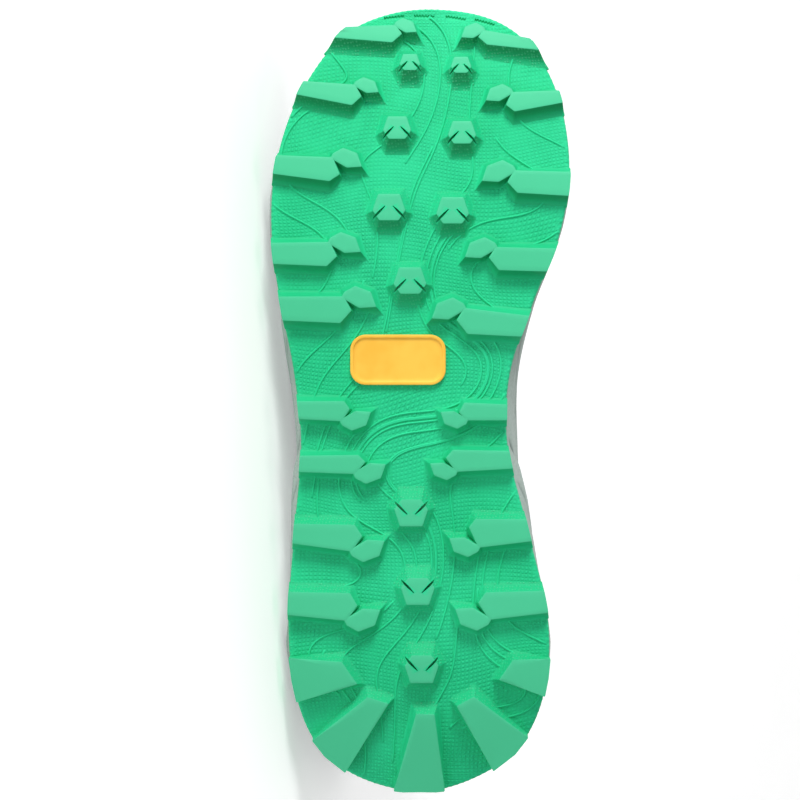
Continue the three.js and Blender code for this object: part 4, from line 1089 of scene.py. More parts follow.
# %% Wedges that fan out round the heel
heel_lugs = [  # side, from, to, inner end ahead, inner end across, turn, half of the inner end
    (-1, 0.117, 0.172, 0.405, -0.235, -0.95, 0.045),
    (-1, 0.028, 0.069, 0.315, -0.140, -0.30, 0.037),
    (0, 0.000, 0.000, 0.270, 0.017, 0.00, 0.031),
    (1, 0.030, 0.073, 0.312, 0.150, 0.50, 0.033),
    (1, 0.124, 0.171, 0.415, 0.285, 0.95, 0.040),
]
HEEL_LUG_HALF_WIDTH = 9


def heel_lug(side, first, last, ahead, across, turn, half):
    """Wedge between three points of the edge and a short inner end."""
    if side == 0:
        reach = HEEL_LUG_HALF_WIDTH / tread_edge.point(np.array(1.0))[1]
        rows = [-reach, 0.0, reach]
    else:
        rows = [edge_row(at, side) for at in (first, (first + last) / 2, last)][::side]
    outer = tread_edge.point(np.array(rows)) + tread_edge.normal(np.array(rows)) * GAP
    middle = np.array([ahead, across]) * BALL_WIDTH
    half_end = half * BALL_WIDTH * np.array([math.sin(turn), math.cos(turn)])
    top = np.stack([*outer, middle + half_end, middle - half_end])
    moves = leaning(growth(top), top)
    moves[:3] = 0
    return lug_loft(top, moves)


# %% All lugs as two pieces, with the slits cut
lug_patches = [lug for row in edge_lugs for lug in edge_lug(*row)]
lug_patches += [heel_lug(*row) for row in heel_lugs]
tread_lugs = piece("tread_lugs", lug_patches, rubber_material, "outsole")
sharp_edges(tread_lugs, 35)
arrow_lugs = piece("arrow_lugs", [middle_lug(row) for row in middle_lugs], rubber_material,
                   "outsole")
cut(arrow_lugs, [slit(row, side) for row in middle_lugs for side in (1, -1)])
sharp_edges(arrow_lugs, 35)

# %% [markdown]
# ## Moulded terrain lines
# Thin raised lines run over the base like the contour lines of a map. Each is traced from a start
# point along the terrain, a short step at a time for all lines at once, and a half-round profile
# is carried along it. A line ends at the tread's edge or after its number of steps.

# %% Trace the lines
LINE_STEP = 1.0
LINE_HALF_WIDTH = 0.42
LINE_HEIGHT = 0.50
LONGER = 1.6
line_starts = np.array([  # length along, across, back, ahead
    [282.0, 6, 30, 8], [268, -30, 26, 20], [262, 34, 40, 12], [250, 8, 50, 30],
    [240, -20, 30, 38], [236, 20, 60, 30], [228, -48, 18, 22], [222, 46, 26, 22],
    [214, -6, 60, 20], [204, 30, 48, 24], [196, -34, 26, 24], [190, 2, 70, 20],
    [186, 44, 30, 22], [182, 6, 64, 18], [178, 10, 60, 22], [176, 15, 66, 30],
    [170, -36, 22, 18], [160, -34, 24, 20], [150, 22, 46, 30], [148, 26, 40, 24],
    [143, 27, 60, 10], [138, -34, 18, 16], [128, -8, 34, 22], [120, 14, 40, 20],
    [112, -30, 26, 18], [104, 30, 46, 16], [98, 2, 54, 20], [96, 34, 40, 20],
    [88, -26, 28, 22], [80, 8, 46, 22], [72, 20, 48, 16], [64, -12, 34, 26],
    [58, -38, 18, 20], [52, 30, 36, 18], [46, 12, 30, 16], [30, -24, 20, 18],
])


def flow(places):
    """Direction of the contour line through each place: square to the terrain's slope."""
    x, y = places[:, 0], places[:, 1]
    slope_x = terrain(x + 0.2, y) - terrain(x - 0.2, y)
    slope_y = terrain(x, y + 0.2) - terrain(x, y - 0.2)
    return unit(np.stack([slope_y, -slope_x], -1))


def traced(starts, steps, way):
    """Places of all lines, one step after another, each step taken along the flow at its own
    middle."""
    places = [starts]
    for _ in range(steps.max()):
        here = places[-1]
        halfway = here + flow(here) * way * LINE_STEP / 2
        places.append(here + flow(halfway) * way * LINE_STEP)
    return np.stack(places, 1)


line_steps = (line_starts[:, 2:] * LONGER).astype(int)
behind = traced(line_starts[:, :2], line_steps[:, 0], -1)
ahead = traced(line_starts[:, :2], line_steps[:, 1], 1)
print("lines:", len(line_starts), "of up to", ahead.shape[1] + behind.shape[1], "points")


# %% Carry the profile along each line
LINE_MARGIN = 0.8
SHORTEST_LINE = 7
edge_u = np.arange(0, TOE_ROW, 0.05)
medial_edge = tread_edge.point(edge_u)
lateral_edge = tread_edge.point(other_side(edge_u))


def on_tread(places):
    """The places from the start on, up to the first that isn't inside the tread's outline by a
    margin."""
    x, y = places[:, 0], places[:, 1]
    inside = ((y < np.interp(x, medial_edge[:, 0], medial_edge[:, 1]) - LINE_MARGIN)
              & (y > np.interp(x, lateral_edge[:, 0], lateral_edge[:, 1]) + LINE_MARGIN)
              & (x > LINE_MARGIN) & (x < SOLE_LENGTH - LINE_MARGIN))
    return places if inside.all() else places[: np.argmin(inside)]


def line_tube(path):
    """Half-round profile on the base, sunk at both ends."""
    along = unit(np.gradient(path, axis=0))
    aside = np.stack([-along[:, 1], along[:, 0]], -1)
    ends = np.minimum(np.arange(len(path)), np.arange(len(path))[::-1])
    rise = smooth(0, 3, ends + 0.4)
    angles = np.linspace(-0.25, math.pi + 0.25, 7)
    plan = path[:, None] + aside[:, None] * (np.cos(angles) * LINE_HALF_WIDTH)[None, :, None]
    return tube(tread_point(plan, np.sin(angles) * LINE_HEIGHT * rise[:, None] - 0.02))


line_paths = [np.concatenate([on_tread(rear[: back + 1])[:0:-1], on_tread(front[: forth + 1])])
         for rear, front, (back, forth) in zip(behind, ahead, line_steps)]
piece("tread_lines", [line_tube(path) for path in line_paths if len(path) >= SHORTEST_LINE],
      rubber_material, "outsole")

# %% [markdown]
# ## The plate under the arch
# A plate of yellow plastic is set into a pocket of the tread. It has a flat face with a raised
# rim and round corners, and a slight satin grain from the mould. Rings of one rounded rectangle,
# moved in step by step, give its side, the rim and the face.


# %% Plate
PLATE_LENGTH = 36
PLATE_BREADTH = 19
PLATE_PROUD = 1.6
PLATE_POCKET = 1.1
PLATE_RIM = 1.3
PLATE_RIM_STEP = 0.6
PLATE_AT = 0.5475
PLATE_ACROSS = -0.074
PLATE_ROUNDING = 0.62
PLATE_POINTS = 64


def plate_ring(inset, h):
    """Rounded rectangle round the plate's middle, moved in by inset, h over the rubber's face."""
    radius = PLATE_BREADTH / 2 * PLATE_ROUNDING - inset
    half = np.array([PLATE_BREADTH / 2, PLATE_LENGTH / 2]) - inset - radius
    angle = circle(PLATE_POINTS, math.pi / PLATE_POINTS)
    turn = np.stack([np.cos(angle), np.sin(angle)], -1)
    middle = np.array([PLATE_AT * SOLE_LENGTH, PLATE_ACROSS * BALL_WIDTH])
    return tread_point(middle + np.sign(turn) * half + turn * radius, h)


def plate_material():
    """Yellow plastic with a fine satin grain."""
    paint = Paint("plate")
    grain = paint.noise(0.5, 3.0)
    paint.bump(grain * 0.02)
    color = paint.mix(paint.noise(9.0).step(0.3, 0.7), rgb(244, 182, 56), rgb(249, 194, 70))
    return paint.finish(color, 0.42 + grain * 0.12, {"Specular IOR Level": 0.4})


face_height = PLATE_PROUD - PLATE_RIM_STEP
plate_levels = [
    (0.0, -PLATE_POCKET + GAP), (0.0, PLATE_PROUD - 0.35), (0.1, PLATE_PROUD - 0.1),
    (0.35, PLATE_PROUD), (PLATE_RIM - 0.35, PLATE_PROUD), (PLATE_RIM - 0.1, PLATE_PROUD - 0.1),
    (PLATE_RIM, face_height + 0.15), (PLATE_RIM + 0.2, face_height),
    (PLATE_RIM + 1.5, face_height), (PLATE_RIM + 3.5, face_height),
]
inlay = piece("inlay", [tube(np.stack([plate_ring(*level) for level in plate_levels]))],
              plate_material(), "inlay_plate")
sharp_edges(inlay, 40)

# %% [markdown]
# ## Foam
# The midsole is pale grey foam with a moulded skin. Its side is a profile of seven levels carried
# round the shoe: it bulges past the tread, has a groove round its middle, leans in to the rim, and
# is carved into long slanted leaves, each with a sharp front edge and a cut line along it. The cut
# lines and the groove are darkened with painted shade.

# %% Foam surface
side_levels = table(["along", "inwards", "bulge", "groove"], [
    [0.00, 0.00, 0.00, 0.0],
    [0.14, 0.00, 0.80, 0.0],
    [0.36, 0.06, 1.00, 0.0],
    [0.44, 0.10, 1.00, 1.4],
    [0.52, 0.22, 0.90, 0.2],
    [0.80, 0.66, 0.35, 0.0],
    [1.00, 1.00, 0.00, 0.0],
])
FLUTE_ROWS = 2
FLUTE_DEPTH = 1.8
FLUTE_LEAN = 2.2
FLUTE_STEP = 0.14
GROOVE_AT = 0.44
CREASES = [(0.07, 0.030, 1.0), (0.80, 0.020, 0.55)]  # phase, width, strength
CREASE_DEPTH = 0.9


def level_at(column, up):
    """Straight lines between the levels, slightly eased by averaging three near heights."""
    return sum(np.interp(np.clip(up + d, 0, 1), side_levels["along"], side_levels[column])
               for d in (-0.02, 0, 0.02)) / 3


def flute_phase(u, up):
    """Where a point lies between the sharp edge of one leaf, 0, and that of the next, 1."""
    turns = (row_from_heel(u) + FLUTE_LEAN * up) / FLUTE_ROWS
    return turns - np.floor(turns)


def flute_depth(u, up):
    """Long slanted leaves, as of an artichoke: each stands out at its front end with a sharp edge
    and sinks away towards the heel. They fade out at heel, toe and borders."""
    phase = flute_phase(u, up)
    sunk = np.where(phase < FLUTE_STEP, phase / FLUTE_STEP, (1 - phase) / (1 - FLUTE_STEP))
    fade = window(1, 3, TOE_ROW - 5, TOE_ROW - 3, row_from_heel(u))
    return FLUTE_DEPTH * sunk * fade * window(0, 0.2, 0.75, 0.95, up)


def recess(u, up):
    """Narrow cut lines: one along the groove, one at each leaf's edge, and a second, finer one
    along each leaf. The foam is cut in there, and its finish darkens them with painted shade."""
    fade = window(1, 2, TOE_ROW - 4, TOE_ROW - 2, row_from_heel(u))
    cuts = sum(strength * bell(flute_phase(u, up), at, width) for at, width, strength in CREASES)
    cuts = cuts * fade * window(0.02, 0.08, 0.70, 0.78, up)
    return np.clip(cuts + 0.7 * bell(up, GROOVE_AT, 0.018), 0, 1)


# %% Midsole
FOAM_COLUMNS_PER_ROW = 36
SIDE_LEVELS = 50
SIDE_TO = 0.97
RIM_SAG = 0.4
UV_ROUND = 800
UV_LEVEL = 0.7
foam_rows = np.arange(LOOP_ROWS * FOAM_COLUMNS_PER_ROW) / FOAM_COLUMNS_PER_ROW


def midsole():
    """Rings up the side, over the rounded rim, down its inside, and a cap at each end."""
    u = foam_rows
    edge, away, share = tread_edge.point(u), tread_edge.normal(u), lip_share(u)
    rim_k = k_at_rim(u)
    rim_edge = upper_at(u, rim_k, GAP + RIM_WALL)[:, :2]
    low_edge = edge - away * np.where(share > 0, TOE_LIP_WALL * share + GAP, 0)[:, None]
    medial, lateral = (along_table(bulges, side, edge[:, 0] / SOLE_LENGTH)
                       for side in ("medial", "lateral"))
    bulge = RIM_WALL * np.where((u > 0) & (u < TOE_ROW), medial, lateral)
    bulge = bulge * np.maximum(1 - 3 * share, 0)
    low, high = foam_bottom(low_edge[:, 0]), rim_height(last_edge.point(u)[:, 0])
    ups = np.linspace(0, SIDE_TO, SIDE_LEVELS)
    rings = []
    for up in ups:
        cut_in = level_at("groove", up) + flute_depth(u, up) + CREASE_DEPTH * recess(u, up)
        out = bulge * level_at("bulge", up) - cut_in
        plan = low_edge + (rim_edge - low_edge) * level_at("inwards", up) + away * out[:, None]
        rings.append(raised(plan, low + (high - low) * up))
    outer_end, inner_end = rings[-1], upper_at(u, rim_k, GAP)
    lift = high - outer_end[:, 2]
    for turn in np.linspace(0, math.pi, 8)[1:-1]:
        share_in = (1 - math.cos(turn)) / 2
        height = blend(outer_end[:, 2], high - RIM_SAG, share_in) + lift * math.sin(turn) * 0.9
        rings.append(raised(blend(outer_end, inner_end, share_in), height))
    rings += [upper_at(u, rim_k * down, GAP) for down in np.linspace(0.98, 0, 10)]
    rings[-1][:, 2] = footbed(rings[-1][:, 0])
    rings = np.stack(rings)
    around = np.arange(len(u) + 1) * UV_ROUND / len(u)
    uv = stacked(around[None], np.arange(len(rings))[:, None] * UV_LEVEL)
    lines, ribbed = np.zeros((2, *rings.shape[:2]))
    # The cut lines, which the foam's finish darkens with painted shade.
    lines[:len(ups)] = recess(u, ups[:, None])
    ribbed[:len(ups)] = (window(0.55, 0.60, 0.78, 0.84, ups)[:, None]
                         * (1 - smooth(TOE_ROW - 5, TOE_ROW - 3, row_from_heel(u))))
    return [patch(rings, uv, close_columns=True, recess=lines, ribbed=ribbed),
            patch(across_shoe(rings[0], 12)), patch(across_shoe(rings[-1], 12))]


def foam_material():
    """Moulded foam: a fine pebbled skin, slightly uneven in tone, with painted shade in the
    hollows between the pebbles, and a band of slanted ribs and cut lines darkened with painted
    shade."""
    paint = Paint("foam")
    pebbles = 1 - paint.cells(1.1)
    fine = paint.noise(0.5)
    along, up = paint.surface()
    ribs = ((along + up * 1.2) / 2.6).wave().step(-0.3, 0.6) * paint.mark("ribbed")
    paint.bump(pebbles * 0.10 + fine * 0.04 + ribs * 0.30)
    # Painted shade: darker in the hollows between the pebbles and along the cut lines.
    color = paint.layers(
        paint.mix(paint.noise(28.0, 3.0).step(0.25, 0.75), rgb(156, 172, 165),
                  rgb(172, 185, 179)),
        ((1 - pebbles.step(0.25, 0.55)) * 0.20, rgb(126, 142, 135)),
        (paint.mark("recess") * 0.85, rgb(66, 80, 75)))
    return paint.finish(color, 0.72 + fine * 0.12)


foam = piece("foam_midsole", midsole(), foam_material(), "midsole")
sharp_edges(foam, 40)

# %% [markdown]
# ## The upper
# The upper is one fabric wall, closed at neither the collar, the throat nor the bottom. Its
# section at each row runs up the outer face, rolls over the top edge, and comes down the inside.
# The collar is padded, so the roll there is thick and soft. Real fabric isn't perfectly even, so
# the face has a few shallow creases where the shoe bends.


# %% Creases, and the wall's section
LEVELS = 64
creases = [  # row, share up, half length in rows, half width as share, depth in millimetres
    (9.6, 0.42, 1.1, 0.050, 0.8), (10.4, 0.50, 1.0, 0.045, 0.9), (11.2, 0.56, 0.9, 0.045, 0.6),
    (5.6, 0.40, 0.9, 0.060, 0.7), (6.4, 0.30, 0.8, 0.050, 0.6), (4.6, 0.62, 0.7, 0.040, 0.6),
    (2.9, 0.74, 0.8, 0.035, 0.5),
]
LATERAL_SHIFT = 0.22
CREASE_SLANT = 0.05
SWELL = 0.25


def crease(u, k):
    """Sum of shallow valleys, the same on both sides but for a small shift."""
    rows = row_from_heel(u)
    shift = np.where(np.mod(u, LOOP_ROWS) < TOE_ROW, 0.0, LATERAL_SHIFT)
    total = 0.0
    for row, up, length, width, depth in creases:
        slant = k - CREASE_SLANT * (rows - row)
        total = total + depth * bell(rows - shift, row, length) * bell(slant, up, width)
    swell = SWELL * np.sin(rows * 2.3 + k * 5) * np.sin(k * math.pi)
    return swell - total


def skin(u, k, offset):
    """Point at an offset from the upper's creased face."""
    return upper_at(u, k, offset + crease(u, k) * smooth(0.1, 0.3, k) * smooth(0, 0.06, 1 - k))


ROLL_STEPS = 10
SEAM_K = 0.80
SEAM_DEPTH = 0.8
PUFF = 1.1


def upper_rings():
    """Sections of the wall: outer face, rounded top, inner face. Round the collar the padding
    puffs out above a seam."""
    u = round_rows[:, None]
    top_wall = wall_at(u, 1.0)
    roll_k = k_at_length(u[:, 0], top_wall[:, 0] / 2, from_top=True)[:, None]
    ks = np.linspace(0, 1, LEVELS)[None] * roll_k
    wall = wall_at(u, ks / roll_k)
    padded = 1 - smooth(PADDED_TO_ROW, PADDING_ENDS_ROW, row_from_heel(u))
    seam = SEAM_DEPTH * padded * bell(ks, SEAM_K, 0.012)
    puff = PUFF * (wall - UPPER_WALL) / COLLAR_PADDING * np.sin(
        np.clip((ks - SEAM_K) / (roll_k - SEAM_K), 0, 1) * math.pi) ** 2
    outer = skin(u, ks, puff * 0.6 - seam)
    inner = upper_at(u, ks, -wall - puff * 0.2)
    centre = upper_at(u, roll_k, -top_wall / 2)
    out = upper_normal(u, roll_k)
    climb = unit(upper_face(u, roll_k) - upper_face(u, roll_k - 0.02))
    turns = np.linspace(0, math.pi, ROLL_STEPS + 2)[1:-1]
    half = top_wall / 2
    roll = (centre + out * (half * np.cos(turns))[..., None]
            + climb * (half * np.sin(turns))[..., None])
    return np.concatenate([outer, roll, inner[:, ::-1]], 1)


rings = upper_rings()
climbed = walked_along(np.concatenate([rings, rings[:, :1]], 1))
climbed = np.concatenate([climbed, climbed[:1]])
walked = walked_along(upper_face(np.append(round_rows, LOOP_ROWS), 0.45))[:, None]
inside = np.zeros(rings.shape[:2])
inside[:, LEVELS + ROLL_STEPS // 2:] = 1
print("upper:", rings.shape, "round", round(float(walked[-1, 0])), "mm")

# %% [markdown]
# ### Engineered mesh
# The fabric is knitted with rows of small open holes over a darker ground. The holes are a
# pattern of two waves on the surface's own millimetres. Thin wavy lines are printed on the sides.
# The inside is a plain lining.


# %% Fabrics
def knit(name, light, dark, hole, pitch=2.6, **over):
    """Open mesh: rounded holes between crossing yarns, with a fine rib in the yarns. Over it may
    lie thin printed lines, a bound border and a lining, each in a colour of its own where the
    piece is marked film, border or inside."""
    paint = Paint(name)
    along, across = paint.surface()
    shifted = along / pitch + (across / pitch * 0.5).math("ROUND") * 0.5
    holes = (shifted.wave() * 0.5 + 0.5) * ((across / pitch).wave() * 0.5 + 0.5)
    holes = holes.step(0.42, 0.75)
    rib = ((along + across) / 0.55).wave() * ((along - across) / 0.55).wave()
    fuzz = paint.noise(0.4, 3.0)
    hills = (across + (along / 24).math("SINE") * 7
             + ((along - across * 1.7) / 15).math("SINE") * 4)
    lines = (hills / 8.5).wave().step(0.925, 0.955)
    printed = lines * paint.mark("film").step(0.45, 0.55)
    bound = paint.mark("border")
    plain = (1 - printed) * (1 - bound)
    paint.bump(holes * plain * -0.45 + rib * plain * 0.05 + printed * 0.25
               + fuzz * (0.10 - printed * 0.07))
    tone = paint.layers(
        paint.mix(paint.noise(60.0).step(0.2, 0.8) * 0.3 + 0.6, dark, light),
        (rib * 0.12 + 0.12, dark),
        (holes * 0.85, hole),
        (printed, over.get("film", dark)),
        (bound, over.get("border", dark)),
        (paint.mark("inside"), over.get("inside", dark)))
    return paint.finish(tone, 0.86 + fuzz * 0.1 - printed * 0.25, {"Sheen Weight": 0.25})


def brushed(name, light, dark):
    """Plain brushed textile with a fine twill."""
    paint = Paint(name)
    along, across = paint.surface()
    twill = ((along + across) / 1.1).wave()
    fuzz = paint.noise(0.5, 3.0)
    paint.bump(twill * 0.06 + fuzz * 0.14)
    tone = paint.mix((twill * 0.25 + fuzz * 0.6).step(0.1, 0.7), dark, light)
    return paint.finish(tone, 0.9, {"Sheen Weight": 0.3})


def film_field(u, k):
    """1 where lines are printed: the sides from the arch to the ball, up to the eyestay."""
    return window(4.4, 5.0, 10.6, 11.2, row_from_heel(u)) * (1 - smooth(0.60, 0.75, k))


knit_grey = knit("knit", rgb(150, 160, 158), rgb(118, 129, 127), rgb(58, 68, 67),
                 film=rgb(98, 110, 107), inside=rgb(96, 106, 104))
film_marks = np.zeros(rings.shape[:2])
film_marks[:, :LEVELS] = film_field(round_rows[:, None], np.linspace(0, 1, LEVELS)[None])
upper_piece = piece("upper_mesh", [patch(rings, stacked(walked, climbed), True, True,
                                         inside=inside, film=film_marks)],
                    knit_grey, "upper")

# %% [markdown]
# ## Eyelets
# The lace runs through six pairs of punched holes beside the throat. The holes are cut through
# the upper and the stay that is glued on it, with round cutters that follow the face's normal.

# %% Punch the holes
EYELET_PAIRS = 6
EYELET_INSET = 7
PIN_HALF_LENGTH = 6
eyelet_rows = np.linspace(TOP_EYELET_ROW, LOW_EYELET_ROW, EYELET_PAIRS)
eyelets = np.concatenate([eyelet_rows, other_side(eyelet_rows)])


def eyelet_pin(u):
    """Round cutter through the wall, along the face's normal."""
    k = k_at_length(u, EYELET_INSET, from_top=True)
    out = upper_normal(u, k)
    up = unit(upper_face(u, k + 0.01) - upper_face(u, k - 0.01))
    angle = circle(32)[:, None]
    spoke = np.cos(angle) * up + np.sin(angle) * np.cross(out, up)
    ring = upper_face(u, k) + EYELET_RADIUS * spoke
    return tube(np.stack([ring - out * PIN_HALF_LENGTH, ring + out * PIN_HALF_LENGTH]))


pins = [eyelet_pin(u) for u in eyelets]
cut(upper_piece, pins)
print("eyelets:", len(pins))

# %% [markdown]
# ## Overlays
# A toe cap, a heel counter and an eyestay are glued on the fabric. Each is a thin sheet on the
# upper's own face, thick in its middle and thinned towards its border, so that it looks welded
# on. A sheet spans the rows from one to another, between a bottom and a top border.


# %% Sheets on the upper
FILM = 1.15
FILM_SUNK = 0.25
FILM_BACK = -0.5
BEVEL = 1.0
WORN_BORDER = 1.6
END_ROUNDING = 0.35
DENSER_ENDS = 0.35


def overlay(first, last, bottom, top, columns, levels):
    """Closed sheet between two borders, with a bevel all round. Its ends are rounded, and its
    columns stand closer there."""
    t = np.linspace(0, 1, columns)
    u = first + (last - first) * blend(t, 0.5 - 0.5 * np.cos(np.pi * t), DENSER_ENDS)
    low, high = bottom(u), top(u)
    round_end = quarter(np.minimum(u - first, last - u), END_ROUNDING)
    middle, half = (low + high) / 2, (high - low) / 2 * np.maximum(round_end, 0.02)
    bands = blend(-np.cos(np.linspace(0, np.pi, levels)), np.linspace(-1, 1, levels), 0.5)
    k, u = middle[:, None] + half[:, None] * bands, u[:, None]
    face = upper_face(u, k)
    up_mm = walked_along(face)
    along_mm = np.cumsum(np.linalg.norm(np.gradient(face[:, levels // 2], axis=0), axis=-1))
    to_end = np.minimum(along_mm - along_mm[0], along_mm[-1] - along_mm)[:, None]
    near = np.minimum(np.minimum(up_mm, up_mm[:, -1:] - up_mm), to_end)
    outer = skin(u, k, -FILM_SUNK + (FILM + FILM_SUNK) * quarter(near, BEVEL))
    inner = skin(u, k, FILM_BACK)
    border = np.clip(1 - near / WORN_BORDER, 0, 1)
    return [patch(outer, stacked(along_mm[:, None], up_mm), border=border), patch(inner),
            *[patch(np.stack([inner[end], outer[end]]))
              for end in (0, -1, np.s_[:, 0], np.s_[:, -1])]]


def film(name, light, dark):
    """Welded film: a leathery grain, slightly shinier along its worn border."""
    paint = Paint(name)
    grain = paint.cells(0.75)
    fine = paint.noise(0.3, 3.0)
    border = paint.mark("border")
    paint.bump(grain * 0.10 + fine * 0.05)
    tone = paint.layers(
        paint.mix(paint.noise(3.5, 3.0).step(0.2, 0.8) * 0.35 + grain * 0.5, dark, light),
        (border * 0.35, light))
    return paint.finish(tone, 0.55 + grain * 0.25 - border * 0.08)


film_dark = film("film", rgb(92, 103, 100), rgb(70, 80, 78))


def above_rim(u):
    """Just above the foam's rim."""
    return k_at_rim(u) + 0.004


# %% Toe cap, heel counter and eyestay
TOE_CAP_FROM_ROW = 10.5
TOE_CAP_HEIGHTS = (9, 34)
HEEL_COUNTER_TO_ROW = 4.5
COUNTER_HEIGHTS = (18, 46)
EYESTAY_FROM_ROW = 5.5
STAY_WIDTHS = (14, 11)


def toe_cap_top(u):
    """Top border of the toe cap: low at its ends and high over the toes."""
    share = smooth(TOE_CAP_FROM_ROW, TOE_ROW - 1.5, row_from_heel(u))
    return np.maximum(k_at_length(u, blend(*TOE_CAP_HEIGHTS, share)), above_rim(u) + 0.03)


def counter_top(u):
    """Top border of the heel counter: low at its ends and high at the heel."""
    share = 1 - smooth(0.6, HEEL_COUNTER_TO_ROW, row_from_heel(u))
    return k_at_length(u, blend(*COUNTER_HEIGHTS, share))


def stay_bottom(u):
    """Outer border of the eyestay, a little nearer to the throat's edge at the front."""
    share = smooth(LOW_EYELET_ROW, TOE_ROW - 3, row_from_heel(u))
    return k_at_length(u, blend(*STAY_WIDTHS, share), from_top=True)


def stay_top(u):
    """Inner border of the eyestay, at the throat's edge."""
    return np.full(np.shape(u), 0.985)


sheets = {  # node: first row, last row, bottom, top, columns, levels
    "toe_cap": (TOE_CAP_FROM_ROW, other_side(TOE_CAP_FROM_ROW), above_rim, toe_cap_top, 190, 26),
    "heel_counter": (-HEEL_COUNTER_TO_ROW, HEEL_COUNTER_TO_ROW, above_rim, counter_top, 170, 34),
    "eyestay": (EYESTAY_FROM_ROW, other_side(EYESTAY_FROM_ROW), stay_bottom, stay_top, 320, 20),
}
for node, borders in sheets.items():
    made = piece(f"{node}_film", overlay(*borders), film_dark, node)
    if node == "eyestay":
        cut(made, pins)
    sharp_edges(made, 60)

# %% [markdown]
# ## Insole
# A loose sockliner lies on the footbed. It is a thin cushion: its face dips a little in the
# middle and turns up at its border.


# %% Sockliner
INSOLE_BORDER = 2.0
INSOLE_ROUNDING = 2.0
INSOLE_DIP = 0.9


def insole():
    """Face and underside between the medial and the lateral edge, joined by a rounded border."""
    rows = np.linspace(0, TOE_ROW, 130)
    medial, lateral = (upper_at(side, 0, -UPPER_WALL - INSOLE_CLEARANCE)[:, None]
                       for side in (rows, other_side(rows)))
    across = np.sin(np.linspace(-math.pi / 2, math.pi / 2, 41))
    plan = blend(lateral, medial, (across[:, None] + 1) / 2)[..., :2]
    to_border = (1 - np.abs(across)) * np.linalg.norm(medial - lateral, axis=-1) / 2
    thick = blend(INSOLE_BORDER, INSOLE, quarter(to_border, INSOLE_ROUNDING))
    thick = thick - INSOLE_DIP * np.clip(1 - across**2, 0, 1)**2
    floor = footbed(plan[..., 0]) + GAP
    face, under = raised(plan, floor + thick), raised(plan, floor)
    return [patch(face, plan), patch(under, plan),
            *[patch(np.stack([face[:, end], under[:, end]])) for end in (0, -1)]]


lining_green = brushed("lining", rgb(70, 190, 142), rgb(38, 150, 104))
sockliner = piece("sockliner", insole(), lining_green, "insole")
sharp_edges(sockliner, 60)

# %% [markdown]
# ## Tongue
# The tongue lies under the throat and stands free above the top eyelets. It is padded mesh, a
# crowned form that is thinnest at its border. Its face follows the inside of the upper, bridges
# the throat with a smooth crown, and then runs on up and back and opens out.

# %% Sections of the tongue
TONGUE_FRONT_ROW = 12
TONGUE_TIP_HALF_WIDTH = 18
TONGUE_TIP_SAG = 5
TONGUE_TUCK = 0.24
TONGUE_ROUNDNESS = 0.95
TONGUE_PADDING = 1.6
TONGUE_ROOT_ANGLE = math.radians(36)
TONGUE_TIP_ANGLE = math.radians(58)
CROWN = 0.33
TONGUE_FLAT_AT = 0.8
TONGUE_ROUNDS_FROM = 0.5
SECTION_POINTS = 33
FLANK_POINTS = 6
FLANK_K = np.array([0.875, 1.0])


def tongue_section(u, lift):
    """Line across the tongue at row u, from the medial flank over the crown to the lateral one."""
    depth = -UPPER_WALL - TONGUE_CLEARANCE + lift
    u = np.asarray(u, float)[..., None]
    medial = upper_at(u, FLANK_K, depth)
    lateral = upper_at(other_side(u), FLANK_K, depth)[..., ::-1, :]
    a, b = medial[..., 1:, :], lateral[..., :1, :]
    span = np.linalg.norm(a - b, axis=-1, keepdims=True) * CROWN
    bridge = bezier(a, a + unit(a - medial[..., :1, :]) * span,
                    b + unit(b - lateral[..., 1:, :]) * span, b,
                    np.linspace(0, 1, SECTION_POINTS - 2 * FLANK_POINTS))
    t = np.linspace(0, 1, FLANK_POINTS + 1)[:, None]
    return np.concatenate([blend(medial[..., :1, :], a, t[:-1]), bridge,
                           blend(b, lateral[..., 1:, :], t[1:])], -2)


def free_section(share, lift):
    """Section of the free end at a share of its length: the root's section opens into a shallow
    arc, the same curve at every width, and the end rounds off."""
    angle = TONGUE_ROOT_ANGLE + (TONGUE_TIP_ANGLE - TONGUE_ROOT_ANGLE) * share
    rise = np.array([-math.cos(angle), 0, math.sin(angle)])
    down = np.array([-rise[2], 0, rise[0]])
    root = tongue_section(THROAT_ROW, 0.0)
    rounded = max(share - TONGUE_ROUNDS_FROM, 0) / (1 - TONGUE_ROUNDS_FROM)
    width = TONGUE_TIP_HALF_WIDTH * math.sqrt(1 - TONGUE_ROUNDNESS * rounded**3)
    walked = walked_along(root)
    side = (1 - 2 * walked / walked[-1]) * width
    sag = TONGUE_TIP_SAG * (side / TONGUE_TIP_HALF_WIDTH)**2
    arc = root[len(root) // 2] + down * (sag - lift)[:, None]
    arc[:, 1] = side
    kept = root - down * lift
    kept[:, 1] *= 1 - TONGUE_TUCK * smooth(0, 0.2, share)
    flat = smooth(0, TONGUE_FLAT_AT, share)
    return blend(kept, arc, flat) + rise * TONGUE_FREE_LENGTH * share


# %% Tongue piece
FREE_SECTIONS = 40
HIDDEN_SECTIONS = 12
HIDDEN_LENGTH = 9
HIDDEN_DROP = 0.12
CHANNEL_PITCH = 7
CHANNEL_DEPTH = 0.5
CHANNELS_TO = 60


